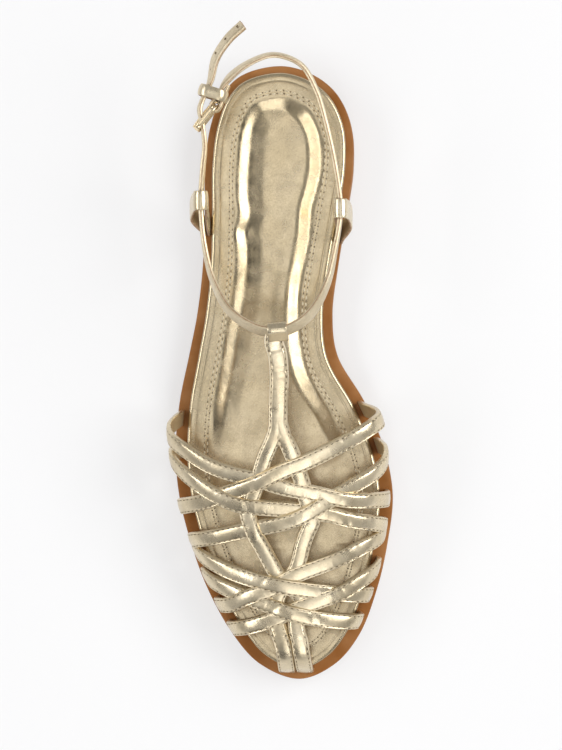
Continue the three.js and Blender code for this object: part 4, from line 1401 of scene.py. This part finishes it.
def make_footbed():
    """Wrapped insole: a thin rim line, a crease, a stitched channel and a cupped middle."""
    ring = INNER[::2]
    steps = (0, 0.12, 0.35, 0.7, 1.2, 1.8, 2.4, 2.8, 3.1, 3.4, 3.8, 4.6, 5.6, 6.4, 7.2, 7.9, 8.6)
    tops = [on_footbed(inset(ring, step), step) for step in steps]
    bottom = top_at(along_at(ring[:, 1])) + GAP
    under = ((6, 0), (0.5, 0), (0.12, 0.15), (0, 0.5))
    below = [np.column_stack([inset(ring, inwards), bottom + rise]) for inwards, rise in under]
    points, faces = join_rings(below + tops)

    def cupped(grid):
        return on_footbed(grid, distances(INNER, grid))[:, 2]

    def flat(grid):
        return top_at(along_at(grid[:, 1])) + GAP

    last = len(points) - len(ring)
    points = cap(points, faces, tops[-1][:, :2], 1.1, cupped, last)
    points = cap(points, faces, below[0][:, :2], 9, flat, flipped=True)
    finishes = [footbed_leather()]
    make_piece("footbed", points, faces, finishes, "footbed_leather", replaces=["insole"])
    rows = []
    for distance, shift in FOOTBED_ROWS:
        line = on_footbed(inset(INNER, distance), distance) + [0, 0, 0.02]
        rows.append((np.roll(line, -shift, axis=0), np.tile(UP, (len(line), 1))))
    pitch = sizes().footbed_pitch
    make_stitches("footbed_stitches", rows, pitch, FOOTBED_THREAD, FOOTBED_HOLE)


# Lengths, widths and heights of the straps' stitches and holes, in metres.
STRAP_THREAD = (0.0014, 0.0004, 0.00032)
# The needle holes are dark discs of painted shade.
STRAP_HOLE = (0.001, 0.0004, 0.00012)


def cut_leather(face):
    """Finishes of a cut strip: its face, its edges and its back."""
    return [face, raw_edge(), lining()]


def strap_width(name):
    if name.startswith("toe_strap"):
        return TOE_STRAP_WIDTH
    return T_STRAP_WIDTH if name == "t_strap" else sizes().strap_width / MM


def make_straps():
    """Woven straps, forked legs, toe straps and the T-strap with its loop."""
    thickness, inwards = sizes().strap_thickness / MM, sizes().stitch_inset / MM
    lines = []
    finishes = cut_leather(gold_leather())
    slot, node = "strap_leather", ["vamp"]
    for name, rows in STRAPS.items():
        path = strap_path(rows, 0.5)
        width = strap_width(name)
        section = folded_section(width, thickness, inwards)
        strips = [0] * (len(section) - 1) + [2]
        added = creased(path, section, CREASES[name])
        make_sweep(name, path, section, finishes, slot, strips, added=added, replaces=node)
        for side in (-1, 1):
            across = side * (width / 2 - inwards)
            nearest = int(np.argmin([abs(s[1] - across) + (0 if s[0] > 1 else 9) for s in section]))
            height = thickness - 0.05 + added[:, nearest]
            at = path.at + path.normal * height[:, None] + path.side * across
            lines.append((at[3:-3], path.normal[3:-3]))
    at, normal, side, _ = on_ankle("instep")
    wall = 2 * LOOP_PLAY + TAB_THICKNESS
    depth, height = ANKLE_STRAP_THICKNESS + wall, ANKLE_STRAP_WIDTH + wall
    path = loop_path(at, normal, side, depth, height, TAB_THICKNESS * 1.3)
    section = band_section(TAB_THICKNESS, T_STRAP_WIDTH)
    make_sweep("t_loop", path, section, finishes, slot, BAND_STRIPS, replaces=node)
    make_stitches("strap_stitches", lines, sizes().stitch_pitch, STRAP_THREAD, STRAP_HOLE)


def tab_path(name, side, bulge):
    """Tab from the rim up its outer leg, over the ankle strap and down its inner leg."""
    at, *_ = on_ankle(name)
    place = ANKLE["along"][ANKLE_PLACES[name]]
    inner = ANKLE_STRAP_THICKNESS / 2 + LOOP_PLAY * 1.4 + TAB_THICKNESS / 2
    upper = ANKLE_STRAP_WIDTH / 2 + LOOP_PLAY * 1.8 + TAB_THICKNESS / 2
    foot = place + TAB_LEAN / SOLE_LENGTH
    low, high = sides_at(foot)
    edge = (-low if side < 0 else high) - TAB_THICKNESS * 0.65
    apart = TAB_THICKNESS + GAP
    z = float(top_at(foot)) - 0.15
    x, top = at[0] * side, at[2]
    rise = top - z
    points = [
        (edge, 0, z),
        (edge + bulge * 0.25, 0.15, z + rise * 0.2),
        (x + bulge, 0.6, z + rise * 0.5),
        (x + inner + bulge * 0.28, 0.95, z + rise * 0.8),
        (x + inner, 1, top),
        (x + inner * 0.92, 1, top + upper * 0.84),
        (x, 1, top + upper * 1.06),
        (x - inner * 0.92, 1, top + upper * 0.84),
        (x - inner, 1, top),
        (x - inner + 0.2, 0.8, z + rise * 0.8),
        (edge - apart, 0.6, z + rise * 0.5),
        (edge - apart, 0.15, z + rise * 0.2),
        (edge - apart, 0, z),
    ]
    y0, y1 = float(y_at(foot)), at[1]
    route = through([(side * p[0], y0 + (y1 - y0) * p[1], p[2]) for p in points], 500)
    tangent = unit(np.gradient(route, axis=0))
    back = np.array([0.0, 1.0, 0.0])
    width = unit(back - tangent * (tangent @ back)[:, None])
    normal = np.cross(width, tangent)
    return Path(route, -normal if side < 0 else normal, 0.6)


def make_tabs():
    """Looped tabs that carry the ankle strap at both sides."""
    finishes = cut_leather(gold_leather())
    section = band_section(TAB_THICKNESS, TAB_WIDTH, 0.35, 0.25)
    for name, side, bulge in (("lateral", -1, TAB_BULGE), ("medial", 1, TAB_BULGE * MEDIAL_BULGE)):
        path = tab_path(name, side, bulge)
        looks = (section, finishes, "tab_leather", BAND_STRIPS)
        make_sweep("loop_" + name, path, *looks, replaces=["tab_" + name])


def buckle_place():
    """Place of the buckle's rear bar, and its ways forwards and outwards."""
    rear = np.array([BUCKLE_REAR[0] * BALL_WIDTH, float(y_at(BUCKLE_REAR[1])), ANKLE_HEIGHT])
    forwards = unit(np.array([*BUCKLE_WAY, 0.0]))
    outward = np.array([forwards[1], -forwards[0], 0.0])
    return rear, forwards, outward


# Share of its thickness that the ankle strap keeps at its fold, the pitch of its holes and the
# thread in them, which is too fine to be seen.
SKIVED = 0.62
HOLE_PITCH = 0.0055
NO_THREAD = (0.0001, 0.0001, 0.0001)


def make_ankle_strap():
    """Ankle strap, folded round the buckle's rear bar, with a raw line in its edges and holes."""
    points, normal, _, place = ANKLE_ROUTE
    rear, *_ = buckle_place()
    radius = BUCKLE_BAR * 0.62 + GAP + ANKLE_STRAP_THICKNESS * SKIVED / 2
    way = unit(on_ankle("tail")[3] * [1, 1, 0])
    out = np.cross(UP, way)
    # The fold's centre line, each point forwards and outwards of the rear bar.
    fold = (
        (9.5, -1.75),
        (6, -1.65),
        (3, -1.8),
        (0.3, -radius),
        (-radius * 0.72, -radius * 0.69),
        (-radius, 0),
        (-radius * 0.72, radius * 0.69),
        (0.3, radius),
        (2.6, 1.1),
    )
    folded = [rear + way * forward + out * outward for forward, outward in fold]
    later = place > 1.35
    shift = 0.45 * (1 - smooth(place[later], 1.35, 2.2))
    main = points[later] + normal[later] * shift[:, None]
    front = through(folded + [main[0], main[60]], 400)
    front = front[: int(400 * (len(fold) - 0.05) / (len(fold) + 1))]
    turned = unit(np.cross(UP, unit(np.gradient(front, axis=0))))
    path = Path(np.vstack([front, main]), np.vstack([turned, normal[later]]), 0.6)
    thin = SKIVED + (1 - SKIVED) * smooth(path.run, 16, 26)
    finishes = cut_leather(ankle_foil())
    section = band_section(ANKLE_STRAP_THICKNESS, ANKLE_STRAP_WIDTH, 0.76)
    looks = (section, finishes, "ankle_leather", WRAPPED_STRIPS)
    make_sweep("ankle_band", path, *looks, thin=thin, replaces=["ankle_strap"])
    first = int(np.argmin(np.linalg.norm(path.at - on_ankle("keeper")[0], axis=1))) + 10
    at = path.at + path.normal * (ANKLE_STRAP_THICKNESS / 2 + 0.02)
    line = (at[first:-8], path.normal[first:-8])
    width = sizes().hole_diameter
    # The strap's holes are dark discs on its face: painted shade for the holes' insides.
    hole_shade = (width, width, 0.0003)
    make_stitches("ankle_holes", [line], HOLE_PITCH, NO_THREAD, hole_shade)


def make_buckle():
    """Buckle frame, prong and the leather keeper."""
    rear, forwards, outward = buckle_place()
    inner = ANKLE_STRAP_WIDTH + 2 * LOOP_PLAY
    centre = rear + forwards * BUCKLE_LENGTH / 2
    path = loop_path(centre, forwards, UP, BUCKLE_LENGTH, inner + BUCKLE_BAR, BUCKLE_BAR * 1.4)
    metal = [plated_metal()]
    bar = grooved_section(BUCKLE_BAR / 2 * 0.95, BUCKLE_BAR / 2 * 1.36)
    make_sweep("buckle_frame", path, bar, metal, "buckle_metal", replaces=["buckle"], sharp=60)
    lift = BUCKLE_BAR / 2 + GAP + PRONG_DIAMETER / 2
    hook = [
        rear + forwards * math.cos(angle) * lift + outward * math.sin(angle) * lift
        for angle in np.radians(np.linspace(300, 100, 12))
    ]
    reach = BUCKLE_LENGTH + BUCKLE_BAR
    steps = ((0.15, 0.05), (0.5, 0.15), (0.8, 0), (0.9, -0.08))
    pin = [rear + forwards * reach * share + outward * (lift + over) for share, over in steps]
    route = through(hook + pin, 260)
    path = Path(route, np.tile(UP, (len(route), 1)), 0.35)
    round_bar = round_section(PRONG_DIAMETER / 2, 12)
    make_sweep("prong", path, round_bar, metal, "buckle_metal", replaces=["buckle_prong"], sharp=60)
    outer, tail = on_ankle("keeper")[0], on_ankle("tail")[0]
    across = unit((outer - tail) * [1, 1, 0])
    spread = float(np.linalg.norm(outer - tail))
    wall = KEEPER_THICKNESS
    width = spread + ANKLE_STRAP_THICKNESS + 4 * LOOP_PLAY + wall
    height = ANKLE_STRAP_WIDTH + 3 * LOOP_PLAY + wall
    path = loop_path((outer + tail) / 2, across, UP, width, height, wall * 2.7)
    section = band_section(wall, KEEPER_WIDTH, 0.4, 0.5)
    finishes = cut_leather(gold_leather())
    looks = (section, finishes, "tab_leather", BAND_STRIPS)
    make_sweep("keeper_loop", path, *looks, replaces=["keeper"])


# Studio.

CAMERA_PLACE = (0.04656, -0.096, 1.2)
CAMERA_AIM = (0.0, -0.0975, 0.02)
VIEW_HEIGHT = 0.305
FLOOR_GLOW = 0.56
CARD_WAY = (0.8, -0.6, 0.0)
CARD = table(
    "towards tone",
    (0.06, 0.36),
    (0.16, 0.03),
    (0.42, 0.03),
    (0.56, 0.36),
)


def make_light(name, place, aim, energy, size, colour=WHITE):
    """Adds a rectangular light that faces a point."""
    data = bpy.data.lights.new(name, "AREA")
    data.energy = energy
    data.shape = "RECTANGLE"
    data.size, data.size_y = size
    data.color = colour
    obj = bpy.data.objects.new(name, data)
    obj.location = place
    obj.rotation_euler = (Vector(aim) - Vector(place)).to_track_quat("-Z", "Y").to_euler()
    bpy.context.scene.collection.objects.link(obj)


def make_world():
    """Pale surroundings with one dark card, which shades the foil between its lights."""
    world = bpy.data.worlds.new("studio")
    world.use_nodes = True
    tree = world.node_tree
    place = add_node(tree, "ShaderNodeTexCoord").outputs["Generated"]
    ways = {0: place, 1: CARD_WAY}
    towards = add_node(tree, "ShaderNodeVectorMath", ways, operation="DOT_PRODUCT")
    ramp = add_node(tree, "ShaderNodeValToRGB", {"Fac": towards.outputs["Value"]})
    connect(tree, tree.nodes["Background"], {"Color": ramp.outputs["Color"]})
    stops = ramp.color_ramp.elements
    for spot, tone in zip(CARD["towards"], CARD["tone"]):
        stop = stops.new(spot)
        stop.color = (tone, tone, tone, 1)
    stops.remove(stops[0])
    stops.remove(stops[len(stops) - 1])
    bpy.context.scene.world = world


@finish("studio floor")
def floor_finish(n):
    """Matt floor with a faint glow of its own."""
    n.shade(
        Base_Color=(*colours().floor, 1),
        Roughness=0.9,
        Specular_IOR_Level=0.1,
        Emission_Color=(*WHITE, 1),
        Emission_Strength=FLOOR_GLOW,
    )


def make_stage():
    """Pale floor, soft lights and the camera at the photograph's angle."""
    size = 3.0
    corners = [(-size, -size, 0), (size, -size, 0), (size, size, 0), (-size, size, 0)]
    mesh = bpy.data.meshes.new("floor")
    mesh.from_pydata(corners, [], [(0, 1, 2, 3)])
    mesh.materials.append(floor_finish())
    floor = bpy.data.objects.new("floor", mesh)
    bpy.context.scene.collection.objects.link(floor)
    aim = (0, -0.1, 0.02)
    make_light("key", (1.2, 0.2, 1.2), aim, 24, (1.5, 0.9), (1.0, 0.995, 0.985))
    make_light("top", (0.0, -0.15, 1.9), aim, 1.9, (0.6, 0.95))
    make_light("strip", (-1.15, -0.05, 1.1), aim, 10.5, (1.7, 0.46))
    make_light("toe", (0.15, -1.45, 1.35), aim, 10, (0.8, 1.8))
    make_world()
    scene = bpy.context.scene
    scene.view_settings.view_transform = "Standard"
    data = bpy.data.cameras.new("camera")
    camera = bpy.data.objects.new("camera", data)
    camera.location = CAMERA_PLACE
    way = Vector(CAMERA_AIM) - Vector(CAMERA_PLACE)
    right = way.cross(Vector((0, 1, 0))).normalized()
    turn = Matrix((right, right.cross(way).normalized(), -way.normalized())).transposed()
    camera.rotation_euler = turn.to_euler()
    data.sensor_fit = "VERTICAL"
    data.sensor_height = 24
    data.lens = 24 * way.length / VIEW_HEIGHT
    data.clip_end = 20
    scene.collection.objects.link(camera)
    scene.camera = camera


# Operators.


class SANDAL_OT_add_sole(bpy.types.Operator):
    """Add the moulded sole"""

    bl_idname = "sandal.add_sole"
    bl_label = "Add Sole"

    def execute(self, context):
        make_sole()
        return {"FINISHED"}


class SANDAL_OT_add_footbed(bpy.types.Operator):
    """Add the cupped footbed with its stitches"""

    bl_idname = "sandal.add_footbed"
    bl_label = "Add Footbed"

    def execute(self, context):
        make_footbed()
        return {"FINISHED"}


class SANDAL_OT_add_straps(bpy.types.Operator):
    """Add the woven straps, the T-strap and their stitches"""

    bl_idname = "sandal.add_straps"
    bl_label = "Add Straps"

    def execute(self, context):
        make_straps()
        return {"FINISHED"}


class SANDAL_OT_add_tabs(bpy.types.Operator):
    """Add the looped tabs at both sides"""

    bl_idname = "sandal.add_tabs"
    bl_label = "Add Tabs"

    def execute(self, context):
        make_tabs()
        return {"FINISHED"}


class SANDAL_OT_add_ankle_strap(bpy.types.Operator):
    """Add the ankle strap with its holes"""

    bl_idname = "sandal.add_ankle_strap"
    bl_label = "Add Ankle Strap"

    def execute(self, context):
        make_ankle_strap()
        return {"FINISHED"}


class SANDAL_OT_add_buckle(bpy.types.Operator):
    """Add the buckle, its prong and the keeper"""

    bl_idname = "sandal.add_buckle"
    bl_label = "Add Buckle"

    def execute(self, context):
        make_buckle()
        return {"FINISHED"}


class SANDAL_OT_add_stage(bpy.types.Operator):
    """Add the floor, the lights and the camera"""

    bl_idname = "sandal.add_stage"
    bl_label = "Add Stage"

    def execute(self, context):
        make_stage()
        return {"FINISHED"}


OPERATORS = (
    SANDAL_OT_add_stage,
    SANDAL_OT_add_sole,
    SANDAL_OT_add_footbed,
    SANDAL_OT_add_straps,
    SANDAL_OT_add_tabs,
    SANDAL_OT_add_ankle_strap,
    SANDAL_OT_add_buckle,
)


class SANDAL_PT_pieces(bpy.types.Panel):
    """Sizes, colours and pieces of the sandal"""

    bl_idname = "SANDAL_PT_pieces"
    bl_label = "Gladiator Sandal"
    bl_space_type = "VIEW_3D"
    bl_region_type = "UI"
    bl_category = "Sandal"

    def draw(self, context):
        for group in (context.scene.sandal_sizes, context.scene.sandal_colours):
            for name in group.__annotations__:
                self.layout.prop(group, name)
        for operator in OPERATORS:
            self.layout.operator(operator.bl_idname)


CLASSES = (SandalSizes, SandalColours, *OPERATORS, SANDAL_PT_pieces)


def register():
    for cls in CLASSES:
        bpy.utils.register_class(cls)
    bpy.types.Scene.sandal_sizes = PointerProperty(type=SandalSizes)
    bpy.types.Scene.sandal_colours = PointerProperty(type=SandalColours)


def unregister():
    del bpy.types.Scene.sandal_colours
    del bpy.types.Scene.sandal_sizes
    for cls in reversed(CLASSES):
        bpy.utils.unregister_class(cls)


def main():
    register()
    for operator in OPERATORS:
        group, name = operator.bl_idname.split(".")
        getattr(getattr(bpy.ops, group), name)()
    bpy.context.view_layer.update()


if __name__ == "__main__":
    main()
